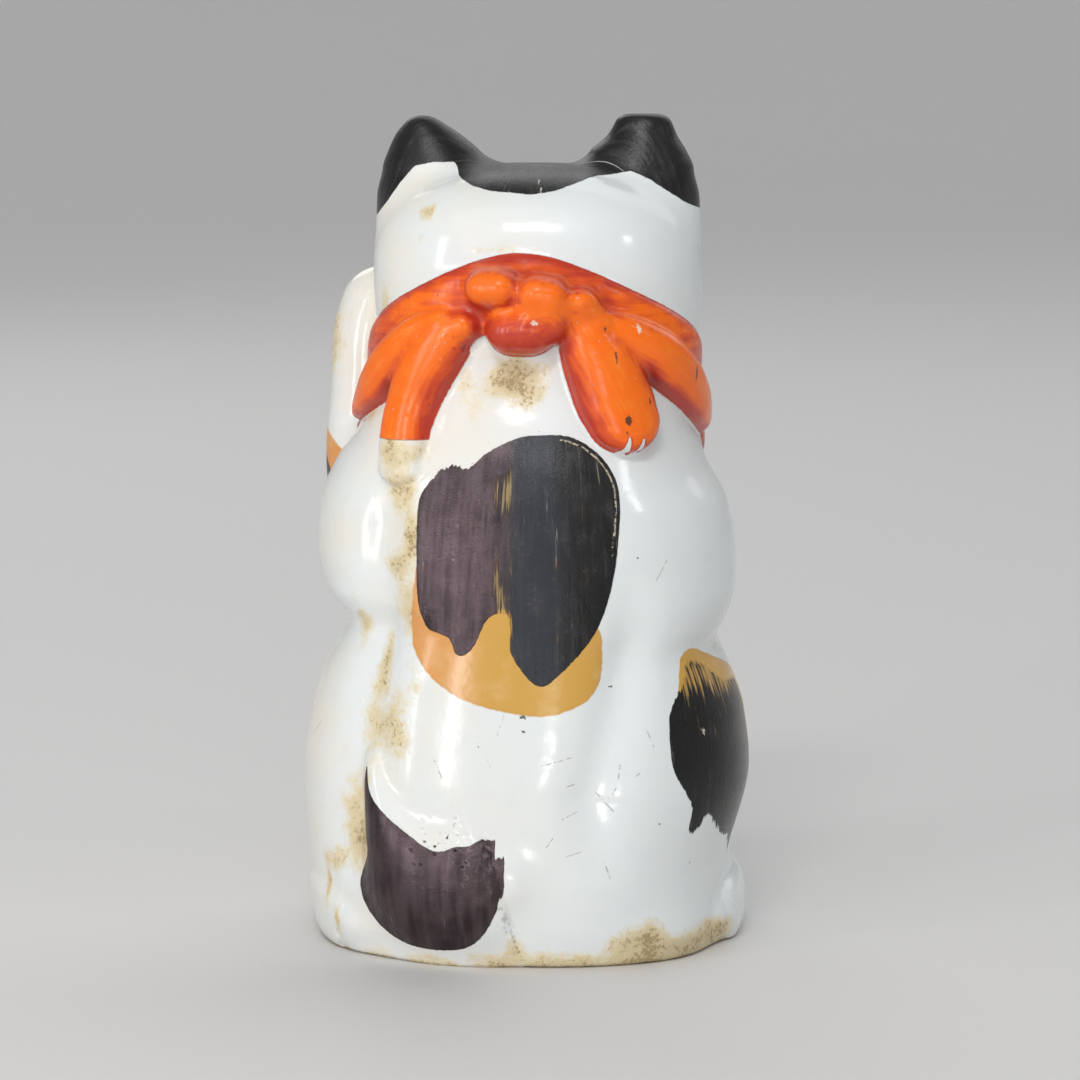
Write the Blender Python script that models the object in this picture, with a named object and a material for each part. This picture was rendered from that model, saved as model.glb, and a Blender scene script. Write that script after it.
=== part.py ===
"""Beckoning cat figurine: a hollow porcelain cat, press-moulded in two halves and luted together.

The cat sits upright and faces -Y, with its raised left arm on the +X side. The origin is on the
table, under the middle of the figurine. Lengths here are in millimetres and angles in degrees;
mesh_object() turns them into metres.

Every piece of clay is its own closed solid, and GAP is the slip joint between two pieces. The
skin is a radius around a vertical axis, so a place on it is an angle and a height: angle 0 is the
cat's left side (+X), 90 its back, 180 its right side and 270 its front.
"""

import math

import bmesh
import bpy
import numpy as np

MM = 0.001
GAP = 0.3
WALL = 3.5
SHARP_ANGLE = 40

# ---- Driving dimensions -------------------------------------------------------------------------
AXIS = (-1.4, 0.0)
CROWN = 112.6
SQUARENESS = 2.35
SIDES = 54
# Height, then the half-widths of the body there: to its left, to its right, behind and in front.
BODY = (
    (0, 30.6, 28.2, 27.3, 25.6),
    (6, 31.3, 28.2, 28.6, 26.4),
    (12, 33.0, 28.5, 29.0, 26.4),
    (25, 33.7, 31.1, 28.8, 25.8),
    (33, 32.6, 30.4, 28.0, 25.0),
    (39, 31.0, 28.6, 27.3, 24.4),
    (44, 28.3, 26.9, 26.8, 24.2),
    (47, 27.4, 28.0, 26.5, 24.2),
    (52, 30.4, 29.3, 26.0, 24.2),
    (58, 31.5, 29.1, 25.3, 23.8),
    (64, 31.2, 27.9, 24.3, 22.4),
    (70, 28.8, 24.8, 22.9, 20.8),
    (76, 24.8, 23.1, 21.0, 21.6),
    (82, 22.8, 22.8, 19.6, 22.8),
    (90, 23.1, 24.1, 19.0, 23.2),
    (98, 23.4, 24.1, 19.6, 22.6),
    (103, 23.3, 24.0, 19.3, 21.0),
    (107, 21.9, 22.6, 17.0, 18.2),
    (110, 17.9, 18.1, 13.3, 14.4),
    (112, 9.5, 9.5, 7.0, 7.5),
)
# Heights where the outside and the hollow have a ring of points, closer where they bend.
SKIN_HEIGHTS = (
    0, 2, 6, 10, 15, 20, 25, 29, 33, 36, 39, 42, 44, 46, 49, 52, 55, 58, 61, 64,
    67, 70, 73, 76, 79, 82, 86, 90, 94, 98, 101, 103, 105, 107, 108.6, 110, 111.2, 112,
)
HOLLOW_HEIGHTS = (-4, 0, 3.5, 8, 18, 28, 36, 44, 48, 54, 62, 70, 77, 84, 92, 99, 103, 106, 108.4)
# Soft rises and hollows on the skin: angle, height, then how wide (degrees), how tall and how high.
RISES = (
    (270, 85, 19, 6.5, 2.4),
    (240, 84, 15, 7.5, 0.8),
    (300, 84, 15, 7.5, 0.8),
    (270, 50, 24, 12.0, 1.2),
    (216, 21, 20, 14.0, 1.6),
    (324, 21, 20, 14.0, 1.6),
    (43, 7, 7, 6.5, 0.9),
    (140, 3, 14, 4.5, 0.9),
    (156, 28, 24, 12.0, 0.5),
    (22, 47.3, 24, 2.6, -0.5),
    (172, 43.8, 24, 2.6, -0.5),
    (89.5, 83.2, 12.5, 4.6, -1.1),
)
# The valleys between the back and the limbs: angle low down and higher up, depth, the heights
# between which the first angle turns into the second, then where it deepens and where it fades out.
VALLEY_WIDTH = 8
VALLEYS = (
    ((45, 45), 1.7, (25, 47), (4, 16), (76, 62)),
    ((112, 125), 1.4, (25, 47), (12, 24), (58, 46)),
)
POLE_RADIUS = 0.6
INNER_CROWN = 109.4
# Near the crown the wall is measured upwards, so there the hollow follows the skin this much higher.
CROWN_COVER = 2.6
COVER_START = 88.0
VENT_RADIUS = 5.0
FLOOR_THICKNESS = 3.5
VENT_SIDES = 24
# Further out than any of the body, for a cutter.
REACH = 60
SEAM_COIL_RADIUS = 1.4
SEAM_COIL_SIDES = 8
SEAM_COIL_GAP = 0.8
SEAM_HEIGHTS = (7, 14, 21, 28, 35, 41, 46, 51, 57, 63, 70, 77, 84, 91, 97, 101)
# Where the coil turns over at the top: how far in from the side and how high, then the flat top's
# half-width and how much lower its ends are.
SEAM_SHOULDER = (3.6, 104.6)
SEAM_TOP = (10.5, 0.4)

COLLAR_HEIGHT = 80.8
COLLAR_TILT = 15.0
COLLAR_DIP = 1.2
COLLAR_HALF_WIDTH = 5.2
COLLAR_THICKNESS = 0.8
COLLAR_STEP = 6.0
# Where across the band its section has points, as shares of its half-width.
COLLAR_OUTSIDE = (-0.97, -0.6, 0, 0.6, 0.97)
COLLAR_INSIDE = (1, 0.5, 0, -0.5, -1)
ROLL_EDGE = 0.2
# Points across a roll: on its round top, and on the underside that follows the skin.
ROLL_TOP_POINTS = 7
ROLL_UNDERSIDE = (-1.0, -0.5, 0.0, 0.5, 1.0)
# Sections made from each station of a roll to the next: the paws bend round the corners.
ROLL_STEPS = 2
PAW_STEPS = 4

# Pieces laid on the skin as a roll: each station is its angle, height, half-width and thickness.
ROLLS = {
    "bow_left_loop": (
        (60, 92.2, 1.5, 0.8), (51.3, 90.4, 2.4, 1.6), (43.7, 88.0, 2.8, 1.9), (36.4, 85.4, 3.0, 2.0),
        (26.9, 82.0, 3.0, 1.8), (14, 79.4, 2.8, 1.2), (6, 77.8, 2.3, 0.9), (1, 76.8, 1.2, 0.4),
    ),
    "bow_right_loop": (
        (120, 92.0, 1.8, 0.8), (128, 90.3, 2.8, 1.7), (140, 87.4, 3.4, 2.0), (152, 84.0, 3.5, 1.9),
        (170, 79.8, 3.4, 1.5), (186, 76.8, 3.0, 1.2), (195, 75.2, 1.6, 0.6),
    ),
    "bow_left_tail": (
        (68, 91.0, 1.8, 1.8), (61.5, 89.6, 3.3, 3.0), (53, 85.4, 4.1, 3.6), (48.0, 80.6, 3.8, 3.5),
        (46.6, 76.4, 3.5, 3.0), (47.2, 73.0, 3.2, 2.3), (48.0, 69.6, 1.8, 1.2),
    ),
    "bow_right_tail": (
        (112, 91.9, 1.8, 1.8), (116, 89.4, 3.5, 3.0), (121.8, 85.0, 4.8, 3.8), (126.5, 80.4, 5.2, 4.0),
        (129, 76.2, 4.8, 3.6), (130, 73.8, 3.4, 2.6), (130, 72.6, 1.6, 1.4),
    ),
    "bow_knot_left": (
        (71.5, 96.0, 1.2, 3.0), (75, 96.4, 2.4, 4.4), (79.5, 96.8, 3.2, 5.6), (83.5, 96.7, 3.1, 5.4),
        (88.4, 96.0, 1.8, 3.6),
    ),
    "bow_knot_right": (
        (90.6, 95.6, 1.8, 4.0), (94.5, 96.0, 3.1, 5.6), (99.5, 95.9, 3.3, 6.0), (105, 95.5, 2.6, 4.8),
        (110, 95.2, 2.2, 4.4), (114.5, 94.2, 1.7, 3.4), (118, 93.0, 1.1, 2.4),
    ),
    "bow_knot_lower": (
        (80, 91.2, 1.6, 3.4), (84.5, 90.4, 2.8, 4.6), (92.5, 89.8, 3.8, 5.8), (99.5, 90.8, 3.1, 5.2),
        (105, 91.8, 1.8, 3.6),
    ),
    "tail": (
        (47.2, 29.0, 0.5, 0.6), (48.7, 25.5, 1.3, 1.4), (51.5, 21.0, 2.6, 2.0), (56, 16.0, 5.0, 2.4),
        (62, 12.2, 6.8, 2.6), (70, 10.4, 7.5, 2.6), (78, 10.8, 6.9, 2.4), (84, 12.0, 4.4, 1.6),
        (86.5, 12.4, 1.8, 0.8),
    ),
    "right_foreleg": (
        (251, 57.0, 2.4, 1.6), (250, 52.0, 4.8, 3.8), (248, 40.0, 5.5, 4.8), (247, 24.0, 5.5, 5.0),
        (246, 11.0, 5.8, 5.4), (246, 5.0, 6.6, 6.4), (246, 0.6, 6.2, 6.2),
    ),
    "left_hind_paw": (
        (38, 3.8, 3.0, 1.2), (33, 4.4, 4.2, 1.6), (14, 4.9, 4.7, 1.5), (-16, 4.8, 4.6, 1.9),
        (-40, 4.7, 4.5, 3.6), (-54, 4.6, 4.4, 5.4), (-62, 4.4, 3.6, 4.8), (-66, 4.2, 2.0, 3.0),
    ),
    "right_hind_paw": (
        (164, 3.8, 2.8, 1.2), (169, 4.1, 4.6, 2.3), (178, 4.2, 4.9, 2.6), (196, 4.4, 4.7, 2.8),
        (212, 4.6, 4.4, 3.8), (224, 4.5, 4.2, 5.0), (231, 4.3, 2.6, 3.4),
    ),
    "bib": (
        (241, 60.2, 2.0, 0.8), (246, 58.6, 4.6, 1.2), (257, 56.6, 6.0, 1.3), (270, 56.0, 6.4, 1.4),
        (283, 56.6, 6.0, 1.3), (294, 58.6, 4.6, 1.2), (299, 60.2, 2.0, 0.8),
    ),
}
# What each laid piece is pressed over, so that it is hollowed there.
LAID_OVER = {
    "bow_left_tail": ("collar_band", "bow_left_loop"),
    "bow_right_tail": ("collar_band", "bow_right_loop"),
    "bow_knot_lower": ("collar_band", "bow_left_tail", "bow_right_tail"),
    "bow_knot_left": ("collar_band", "bow_left_tail", "bow_left_loop", "bow_knot_lower"),
    "bow_knot_right": (
        "collar_band", "bow_right_tail", "bow_right_loop", "bow_knot_lower", "bow_knot_left",
    ),
    "right_foreleg": ("bib", "right_hind_paw"),
    "bib": ("collar_band",),
}

# The two loops lie on the ribbon all the way, so their undersides are raised by its thickness.
LOOP_BED = COLLAR_THICKNESS + GAP

# Ears: height, centre x, centre y, half-width and half-depth of each section.
LEFT_EAR = (
    (102.0, 13.0, 0.0, 8.2, 7.4), (108.0, 13.4, 0.0, 8.2, 7.2), (112.0, 12.8, 0.2, 8.0, 6.4),
    (114.6, 13.3, 0.5, 6.6, 5.2), (117.0, 14.1, 0.9, 4.6, 3.7), (118.9, 14.7, 1.3, 2.2, 2.0),
    (119.6, 15.0, 1.4, 0.8, 0.7),
)
RIGHT_EAR = (
    (102.0, -17.0, 0.0, 8.2, 7.4), (108.0, -16.9, 0.0, 8.3, 7.2), (112.0, -16.2, 0.2, 8.2, 6.4),
    (114.6, -16.4, 0.5, 7.0, 5.3), (117.0, -17.0, 0.9, 5.0, 3.9), (119.0, -17.2, 1.3, 3.8, 2.7),
    (120.0, -17.2, 1.4, 3.0, 1.9),
)
# Raised arm: height, centre x, centre y, half-width and half-depth of each section.
RAISED_ARM = (
    (56.0, 21.0, -9.0, 5.0, 5.0), (62.0, 23.8, -9.4, 6.2, 6.4), (70.0, 24.7, -10.4, 6.2, 6.4),
    (78.0, 24.0, -11.6, 6.1, 6.2), (86.0, 23.8, -12.6, 6.3, 6.2), (91.5, 23.2, -13.2, 6.0, 6.0),
    (95.0, 21.8, -13.6, 4.6, 4.6), (96.6, 20.6, -13.8, 2.0, 2.2),
)
BELL_RADIUS = 4.4
BELL_PLACE = (-1.4, -27.6, 59.0)
BELL_SIDES = 18
BELL_RINGS = 11
BELL_POLE = 85
# The slit: its width, how far in front of the bell's middle it ends, and how far up it goes.
BELL_SLIT = 0.9
SLIT_START = 2.6
SLIT_TOP = 1.0
EAR_SIDES = 16
ARM_SIDES = 18

GLAZE = (0.86, 0.87, 0.85)
RED = (0.78, 0.13, 0.03)
BLACK = (0.03, 0.025, 0.03)
GILT = (0.72, 0.50, 0.18)
BIB_BLUE = (0.10, 0.22, 0.45)
BISQUE = (0.72, 0.66, 0.55)


# ---- Small tools --------------------------------------------------------------------------------
def material(name, colour, roughness, metallic=0.0):
    made = bpy.data.materials.new(name)
    made.use_nodes = True
    shader = made.node_tree.nodes["Principled BSDF"]
    shader.inputs["Base Color"].default_value = (*colour, 1.0)
    shader.inputs["Roughness"].default_value = roughness
    shader.inputs["Metallic"].default_value = metallic
    return made


def mesh_object(name, rings, closed_ring=False):
    """A closed tube through rings of points; its ends are capped unless the rings close on themselves."""
    count = len(rings[0])
    bm = bmesh.new()
    loops = [[bm.verts.new([value * MM for value in point]) for point in ring] for ring in rings]
    pairs = list(zip(loops, loops[1:]))
    if closed_ring:
        pairs.append((loops[-1], loops[0]))
    for lower, upper in pairs:
        for i in range(count):
            j = (i + 1) % count
            bm.faces.new((lower[i], lower[j], upper[j], upper[i]))
    if not closed_ring:
        bm.faces.new(loops[0][::-1])
        bm.faces.new(loops[-1])
    bmesh.ops.recalc_face_normals(bm, faces=bm.faces)
    bmesh.ops.triangulate(bm, faces=[face for face in bm.faces if len(face.verts) > 4])
    mesh = bpy.data.meshes.new(name)
    bm.to_mesh(mesh)
    bm.free()
    made = bpy.data.objects.new(name, mesh)
    bpy.context.scene.collection.objects.link(made)
    return made


def finish(piece, look):
    piece.data.materials.append(look)
    piece.data.shade_smooth()
    piece.data.set_sharp_from_angle(angle=math.radians(SHARP_ANGLE))


def as_cutter(piece):
    piece.hide_render = True
    piece.display_type = "WIRE"
    return piece


def cut(piece, *cutters, solver="EXACT"):
    for cutter in cutters:
        modifier = piece.modifiers.new(f"cut_{cutter.name}", "BOOLEAN")
        modifier.object = cutter
        modifier.operation = "DIFFERENCE"
        modifier.solver = solver


def box_cutter(name, low, high):
    corners = [(low[0], low[1]), (high[0], low[1]), (high[0], high[1]), (low[0], high[1])]
    return as_cutter(mesh_object(name, [[(x, y, z) for x, y in corners] for z in (low[2], high[2])]))


def ellipse(centre, half_width, half_depth, height, count):
    turns = [2 * math.pi * i / count for i in range(count)]
    return [
        (centre[0] + half_width * math.cos(t), centre[1] + half_depth * math.sin(t), height)
        for t in turns
    ]


def smooth_rows(rows, steps):
    """Rows of numbers, with steps - 1 more between each two, on a Catmull-Rom curve."""
    points = np.array(rows, float)
    padded = np.vstack([2 * points[0] - points[1], points, 2 * points[-1] - points[-2]])
    finer = []
    for i in range(len(points) - 1):
        before, start, end, after = padded[i : i + 4]
        for t in np.arange(steps) / steps:
            finer.append(
                start
                + 0.5 * t * (end - before)
                + t * t * (before - 2.5 * start + 2 * end - 0.5 * after)
                + 0.5 * t**3 * (3 * start - before - 3 * end + after)
            )
    finer.append(points[-1])
    return np.array(finer)


# ---- The body's skin ----------------------------------------------------------------------------
def half_width(column, height):
    """One column of BODY at a height, on a curve that never overshoots its points."""
    heights = np.array([row[0] for row in BODY], float)
    values = np.array([row[column] for row in BODY], float)
    rise = np.diff(values) / np.diff(heights)
    slopes = np.empty_like(values)
    slopes[0], slopes[-1] = rise[0], rise[-1]
    before, after = rise[:-1], rise[1:]
    turning = before * after <= 0
    slopes[1:-1] = np.where(turning, 0.0, 2 * before * after / np.where(turning, 1.0, before + after))
    height = min(max(height, heights[0]), heights[-1])
    i = min(max(int(np.searchsorted(heights, height)) - 1, 0), len(heights) - 2)
    span = heights[i + 1] - heights[i]
    t = (height - heights[i]) / span
    return (
        (2 * t**3 - 3 * t**2 + 1) * values[i]
        + (t**3 - 2 * t**2 + t) * span * slopes[i]
        + (3 * t**2 - 2 * t**3) * values[i + 1]
        + (t**3 - t**2) * span * slopes[i + 1]
    )


def fade(value, start, end):
    return min(max((value - start) / (end - start), 0.0), 1.0)


def valley(angle, height):
    """How deep the soft hollows between the back and the limbs are here."""
    deep = 0.0
    for (low, high), depth, turning, deepening, fading in VALLEYS:
        middle = low + (high - low) * fade(height, *turning)
        shape = math.exp(-(((angle - middle) / VALLEY_WIDTH) ** 2))
        deep += depth * shape * fade(height, *deepening) * fade(height, *fading)
    return deep


def rise(angle, height):
    return sum(
        high * math.exp(-(((angle - middle) / wide) ** 2) - ((height - level) / tall) ** 2)
        for middle, level, wide, tall, high in RISES
    )


def skin_radius(angle, height):
    angle = angle % 360
    turn = math.radians(angle)
    across = half_width(1 if math.cos(turn) > 0 else 2, height)
    along = half_width(3 if math.sin(turn) > 0 else 4, height)
    power = abs(math.cos(turn) / across) ** SQUARENESS + abs(math.sin(turn) / along) ** SQUARENESS
    return power ** (-1 / SQUARENESS) - valley(angle, height) + rise(angle, height)


def on_skin(angle, height, lift=0.0):
    reach = skin_radius(angle, height) + lift
    turn = math.radians(angle)
    return (AXIS[0] + reach * math.cos(turn), AXIS[1] + reach * math.sin(turn), height)


def skin_ring(height, lift, count, cover=0.0):
    return [
        (*on_skin(360 * i / count, height + cover, lift)[:2], height) for i in range(count)
    ]


def pole(height, count):
    return ellipse(AXIS, POLE_RADIUS, POLE_RADIUS, height, count)


def skin_solid(name, lift):
    """The whole outside of the body, lifted by a little where it trims a neighbour."""
    rings = [skin_ring(height, lift, SIDES) for height in SKIN_HEIGHTS]
    rings.append(pole(CROWN + lift, SIDES))
    return mesh_object(name, rings)


def hollow_rings(shrink, heights):
    """The inside of the shells, drawn in by shrink; its top is covered by a full wall."""
    count = SIDES // 2
    rings = []
    for height in heights:
        cover = CROWN_COVER * fade(height, COVER_START, INNER_CROWN)
        rings.append(skin_ring(height, -WALL - shrink, count, cover))
    return rings


# ---- Shells, floor and seam ---------------------------------------------------------------------
def make_shells(look):
    rings = hollow_rings(0.0, HOLLOW_HEIGHTS) + [pole(INNER_CROWN, SIDES // 2)]
    hollow = as_cutter(mesh_object("cutter_hollow", rings))
    below, above = -VENT_RADIUS, CROWN + VENT_RADIUS
    for name, low, high in (("back_shell", -REACH, GAP / 2), ("front_shell", -GAP / 2, REACH)):
        shell = skin_solid(name, 0.0)
        cut(shell, hollow, box_cutter(f"cutter_{name}", (-REACH, low, below), (REACH, high, above)))
        finish(shell, look)


def make_floor(look):
    """The slab that closes the bottom, with the hole that lets the kiln's air out."""
    floor = mesh_object("base_slab", hollow_rings(GAP, (0.0, FLOOR_THICKNESS)))
    ends = (-FLOOR_THICKNESS, 2 * FLOOR_THICKNESS)
    rings = [ellipse(AXIS, VENT_RADIUS, VENT_RADIUS, height, VENT_SIDES) for height in ends]
    cut(floor, as_cutter(mesh_object("cutter_vent", rings)))
    finish(floor, look)


def make_seam_coil(look):
    """A roll of clay pressed along the inside of the seam, up one side, over and down the other."""
    inset = WALL + SEAM_COIL_GAP + SEAM_COIL_RADIUS
    top = INNER_CROWN - SEAM_COIL_GAP - SEAM_COIL_RADIUS
    left = [(skin_radius(0, h) - inset, h) for h in SEAM_HEIGHTS]
    right = [(inset - skin_radius(180, h), h) for h in SEAM_HEIGHTS]
    inward, shoulder = SEAM_SHOULDER
    half, lower = SEAM_TOP
    over = [(left[-1][0] - inward, shoulder), (half, top - lower), (0, top), (-half, top - lower)]
    over.append((right[-1][0] + inward, shoulder))
    path = smooth_rows(left + over + right[::-1], 2)
    rings = []
    for i, (x, z) in enumerate(path):
        along = path[min(i + 1, len(path) - 1)] - path[max(i - 1, 0)]
        along = along / np.linalg.norm(along)
        ring = []
        for k in range(SEAM_COIL_SIDES):
            turn = 2 * math.pi * k / SEAM_COIL_SIDES
            out = SEAM_COIL_RADIUS * math.cos(turn)
            ring.append((
                AXIS[0] + x + out * along[1],
                AXIS[1] + SEAM_COIL_RADIUS * math.sin(turn),
                z - out * along[0],
            ))
        rings.append(ring)
    finish(mesh_object("seam_coil", rings), look)


# ---- Pieces laid on the skin --------------------------------------------------------------------
def roll_rings(name, grow):
    """Sections of a roll whose underside follows the skin; grow makes the same roll a little fatter."""
    rows = smooth_rows(ROLLS[name], PAW_STEPS if name.endswith("paw") else ROLL_STEPS)
    bed = GAP + (LOOP_BED if name.endswith("loop") else 0.0)
    rings = []
    for i, (angle, height, width, thickness) in enumerate(rows):
        scale = skin_radius(angle, height) * math.pi / 180
        ahead = rows[min(i + 1, len(rows) - 1)] - rows[max(i - 1, 0)]
        along = np.array([ahead[0] * scale, ahead[1]])
        along /= np.linalg.norm(along)
        shift = grow * ((i == len(rows) - 1) - (i == 0))
        middle = np.array([angle, height]) + shift * along / (scale, 1)
        ring = []
        for across in np.cos(np.linspace(0, math.pi, ROLL_TOP_POINTS)):
            lift = bed + grow + ROLL_EDGE + thickness * math.sqrt(max(1 - across**2, 0))
            side = across * (width + grow)
            ring.append((middle[0] - side * along[1] / scale, middle[1] + side * along[0], lift))
        for across in ROLL_UNDERSIDE:
            side = across * (width + grow)
            ring.append((middle[0] - side * along[1] / scale, middle[1] + side * along[0], bed - grow))
        rings.append([on_skin(a, max(h, 0.0), lift) for a, h, lift in ring])
    return rings


def collar_rings(grow):
    """The ribbon round the neck, high behind and low in front."""
    rings = []
    half = COLLAR_HALF_WIDTH + grow
    for angle in np.arange(0, 360, COLLAR_STEP):
        turn = math.radians(angle)
        middle = COLLAR_HEIGHT + COLLAR_TILT * math.sin(turn) - COLLAR_DIP * math.sin(2 * turn) ** 2
        outer = [(half * u, GAP + grow + COLLAR_THICKNESS * (1 - u**4) ** 0.5) for u in COLLAR_OUTSIDE]
        inner = [(half * u, GAP - grow) for u in COLLAR_INSIDE]
        rings.append([on_skin(angle, middle + offset, lift) for offset, lift in outer + inner])
    return rings


def make_collar(look):
    collar = mesh_object("collar_band", collar_rings(0.0), closed_ring=True)
    finish(collar, look)
    grown = mesh_object("grown_collar_band", collar_rings(GAP), closed_ring=True)
    return {"collar_band": as_cutter(grown)}


def make_rolls(looks, grown):
    for name in ROLLS:
        grown[name] = as_cutter(mesh_object(f"grown_{name}", roll_rings(name, GAP)))
    for name in ROLLS:
        roll = mesh_object(name, roll_rings(name, 0.0))
        # EXACT turns a knot inside out where the thin edges of several rolls cross.
        cut(roll, *(grown[below] for below in LAID_OVER.get(name, ())), solver="MANIFOLD")
        finish(roll, looks.get(name, looks["glaze"]))


# ---- Ears, arm and bell -------------------------------------------------------------------------
def column(name, sections, count):
    rings = [
        ellipse((x, y), half_x, half_y, height, count)
        for height, x, y, half_x, half_y in smooth_rows(sections, 2)
    ]
    return mesh_object(name, rings)


def make_ears(look, skin):
    for name, sections in (("left_ear", LEFT_EAR), ("right_ear", RIGHT_EAR)):
        ear = column(name, sections, EAR_SIDES)
        cut(ear, skin)
        finish(ear, look)


def make_raised_arm(look, skin, grown):
    arm = column("raised_left_arm", RAISED_ARM, ARM_SIDES)
    cut(arm, grown["collar_band"], skin)
    finish(arm, look)


def make_bell(look, skin, grown):
    """A clay bell under the chin, with the slit across its front."""
    rings = []
    for tilt in np.linspace(-BELL_POLE, BELL_POLE, BELL_RINGS):
        reach = BELL_RADIUS * math.cos(math.radians(tilt))
        height = BELL_PLACE[2] + BELL_RADIUS * math.sin(math.radians(tilt))
        rings.append(ellipse(BELL_PLACE[:2], reach, reach, height, BELL_SIDES))
    bell = mesh_object("bell", rings)
    x, y, z = BELL_PLACE
    outside = 1.5 * BELL_RADIUS
    low = (x - BELL_SLIT / 2, y - outside, z - outside)
    slit = box_cutter("cutter_bell_slit", low, (x + BELL_SLIT / 2, y - SLIT_START, z + SLIT_TOP))
    cut(bell, skin, grown["bib"], grown["collar_band"], slit)
    finish(bell, look)


def clear_scene():
    for thing in list(bpy.data.objects):
        bpy.data.objects.remove(thing)


def main():
    clear_scene()
    glaze = material("white_glaze", GLAZE, 0.12)
    red = material("red_enamel", RED, 0.25)
    black = material("black_enamel", BLACK, 0.3)
    gilt = material("gilt", GILT, 0.35, 0.8)
    blue = material("bib_enamel", BIB_BLUE, 0.25)
    bisque = material("unglazed_clay", BISQUE, 0.8)

    make_shells(glaze)
    make_floor(bisque)
    make_seam_coil(bisque)
    grown = make_collar(red)
    looks = {name: red for name in ROLLS if name.startswith("bow_")}
    looks.update(glaze=glaze, tail=black, bib=blue)
    make_rolls(looks, grown)
    skin = as_cutter(skin_solid("grown_skin", GAP))
    make_ears(black, skin)
    make_raised_arm(glaze, skin, grown)
    make_bell(gilt, skin, grown)


main()
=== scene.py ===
"""Looks of the beckoning cat figurine: fine glazed surface, brushed enamels, age stains, light and camera.

The whole outside is one smooth field, so glaze runs over every joint as it does on the real
porcelain. The field is meshed once, and the mesh is shared out to the pieces of clay: each piece
is a closed solid that replaces one CAD node. Lengths are millimetres until a mesh is made.
A place on the skin is an angle (0 the cat's left, 90 its back, 180 its right, 270 its front) and
a height.
"""

import math

import bpy
import numpy as np
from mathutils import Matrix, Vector
from mathutils.geometry import delaunay_2d_cdt


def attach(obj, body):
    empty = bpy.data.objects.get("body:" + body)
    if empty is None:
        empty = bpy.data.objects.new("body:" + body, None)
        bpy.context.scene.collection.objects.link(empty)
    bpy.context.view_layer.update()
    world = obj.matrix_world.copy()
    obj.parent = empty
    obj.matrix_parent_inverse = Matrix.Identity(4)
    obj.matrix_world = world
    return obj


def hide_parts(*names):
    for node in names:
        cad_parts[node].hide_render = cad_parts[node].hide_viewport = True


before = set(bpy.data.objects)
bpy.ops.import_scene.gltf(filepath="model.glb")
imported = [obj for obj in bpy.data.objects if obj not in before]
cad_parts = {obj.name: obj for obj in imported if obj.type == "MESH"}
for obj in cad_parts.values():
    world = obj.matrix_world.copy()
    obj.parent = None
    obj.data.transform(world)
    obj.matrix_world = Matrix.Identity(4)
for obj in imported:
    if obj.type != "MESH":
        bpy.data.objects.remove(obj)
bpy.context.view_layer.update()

MM = 0.001
VOXEL = 0.5

# What counts as far from a surface, where its distance isn't worked out.
FAR = 9.0

# ---- Shape ----------------------------------------------------------------------------------------
# The skin: a squared ellipse round AXIS, closed over the head by a cap between two heights.
AXIS = (-1.4, 0.0)
CROWN = 112.6
CAP_START = 95.0
# Over this height the cap alone narrows the head.
HEAD_LEVEL = 110.0
CAP_POWER = 3.0
SQUARENESS = 2.35
WALL = 3.5
FOOT_ROUNDING = 1.2
TABLE_ROUNDING = 0.5
# The valleys between the back and the limbs: angle low down and higher up, depth, the heights
# between which the first angle turns into the second, then where it deepens and where it fades out.
VALLEY_WIDTH = 8
VALLEYS = (
    ((45, 45), 1.7, (25, 47), (4, 16), (76, 62)),
    ((112, 125), 1.4, (25, 47), (12, 24), (58, 46)),
)
# Height, then the half-widths of the body there: to its left, to its right, behind and in front.
BODY = np.array((
    (0, 30.6, 28.2, 27.3, 25.6),
    (6, 31.3, 28.2, 28.6, 26.4),
    (12, 33.0, 28.5, 29.0, 26.4),
    (25, 33.7, 31.1, 28.8, 25.8),
    (33, 32.6, 30.4, 28.0, 25.0),
    (39, 31.0, 28.6, 27.3, 24.4),
    (44, 28.3, 26.9, 26.8, 24.2),
    (47, 27.4, 28.0, 26.5, 24.2),
    (52, 30.4, 29.3, 26.0, 24.2),
    (58, 31.5, 29.1, 25.3, 23.8),
    (64, 31.2, 27.9, 24.3, 22.4),
    (70, 28.8, 24.8, 22.9, 20.8),
    (76, 24.8, 23.1, 21.0, 21.6),
    (82, 22.8, 22.8, 19.6, 22.8),
    (90, 23.1, 24.1, 19.0, 23.2),
    (98, 23.4, 24.1, 19.6, 22.6),
    (112, 23.4, 24.1, 19.6, 22.6),
), float)
# Soft rises (and hollows) on the skin: angle, height, then how wide, how tall and how high each is.
RISES = (
    (270, 85, 19, 6.5, 2.4),
    (240, 84, 15, 7.5, 0.8),
    (300, 84, 15, 7.5, 0.8),
    (270, 50, 24, 12.0, 1.2),
    (216, 21, 20, 14.0, 1.6),
    (324, 21, 20, 14.0, 1.6),
    (43, 7, 7, 6.5, 0.9),
    (140, 3, 14, 4.5, 0.9),
    (156, 28, 24, 12.0, 0.5),
    (22, 47.3, 24, 2.6, -0.5),
    (172, 43.8, 24, 2.6, -0.5),
    (89.5, 83.2, 12.5, 4.6, -1.1),
)
COLLAR_HEIGHT = 80.8
COLLAR_TILT = 15.0
COLLAR_DIP = 1.2
COLLAR_HALF_WIDTH = 5.2
COLLAR_THICKNESS = 1.5
COLLAR_BLEND = 0.5

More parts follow.
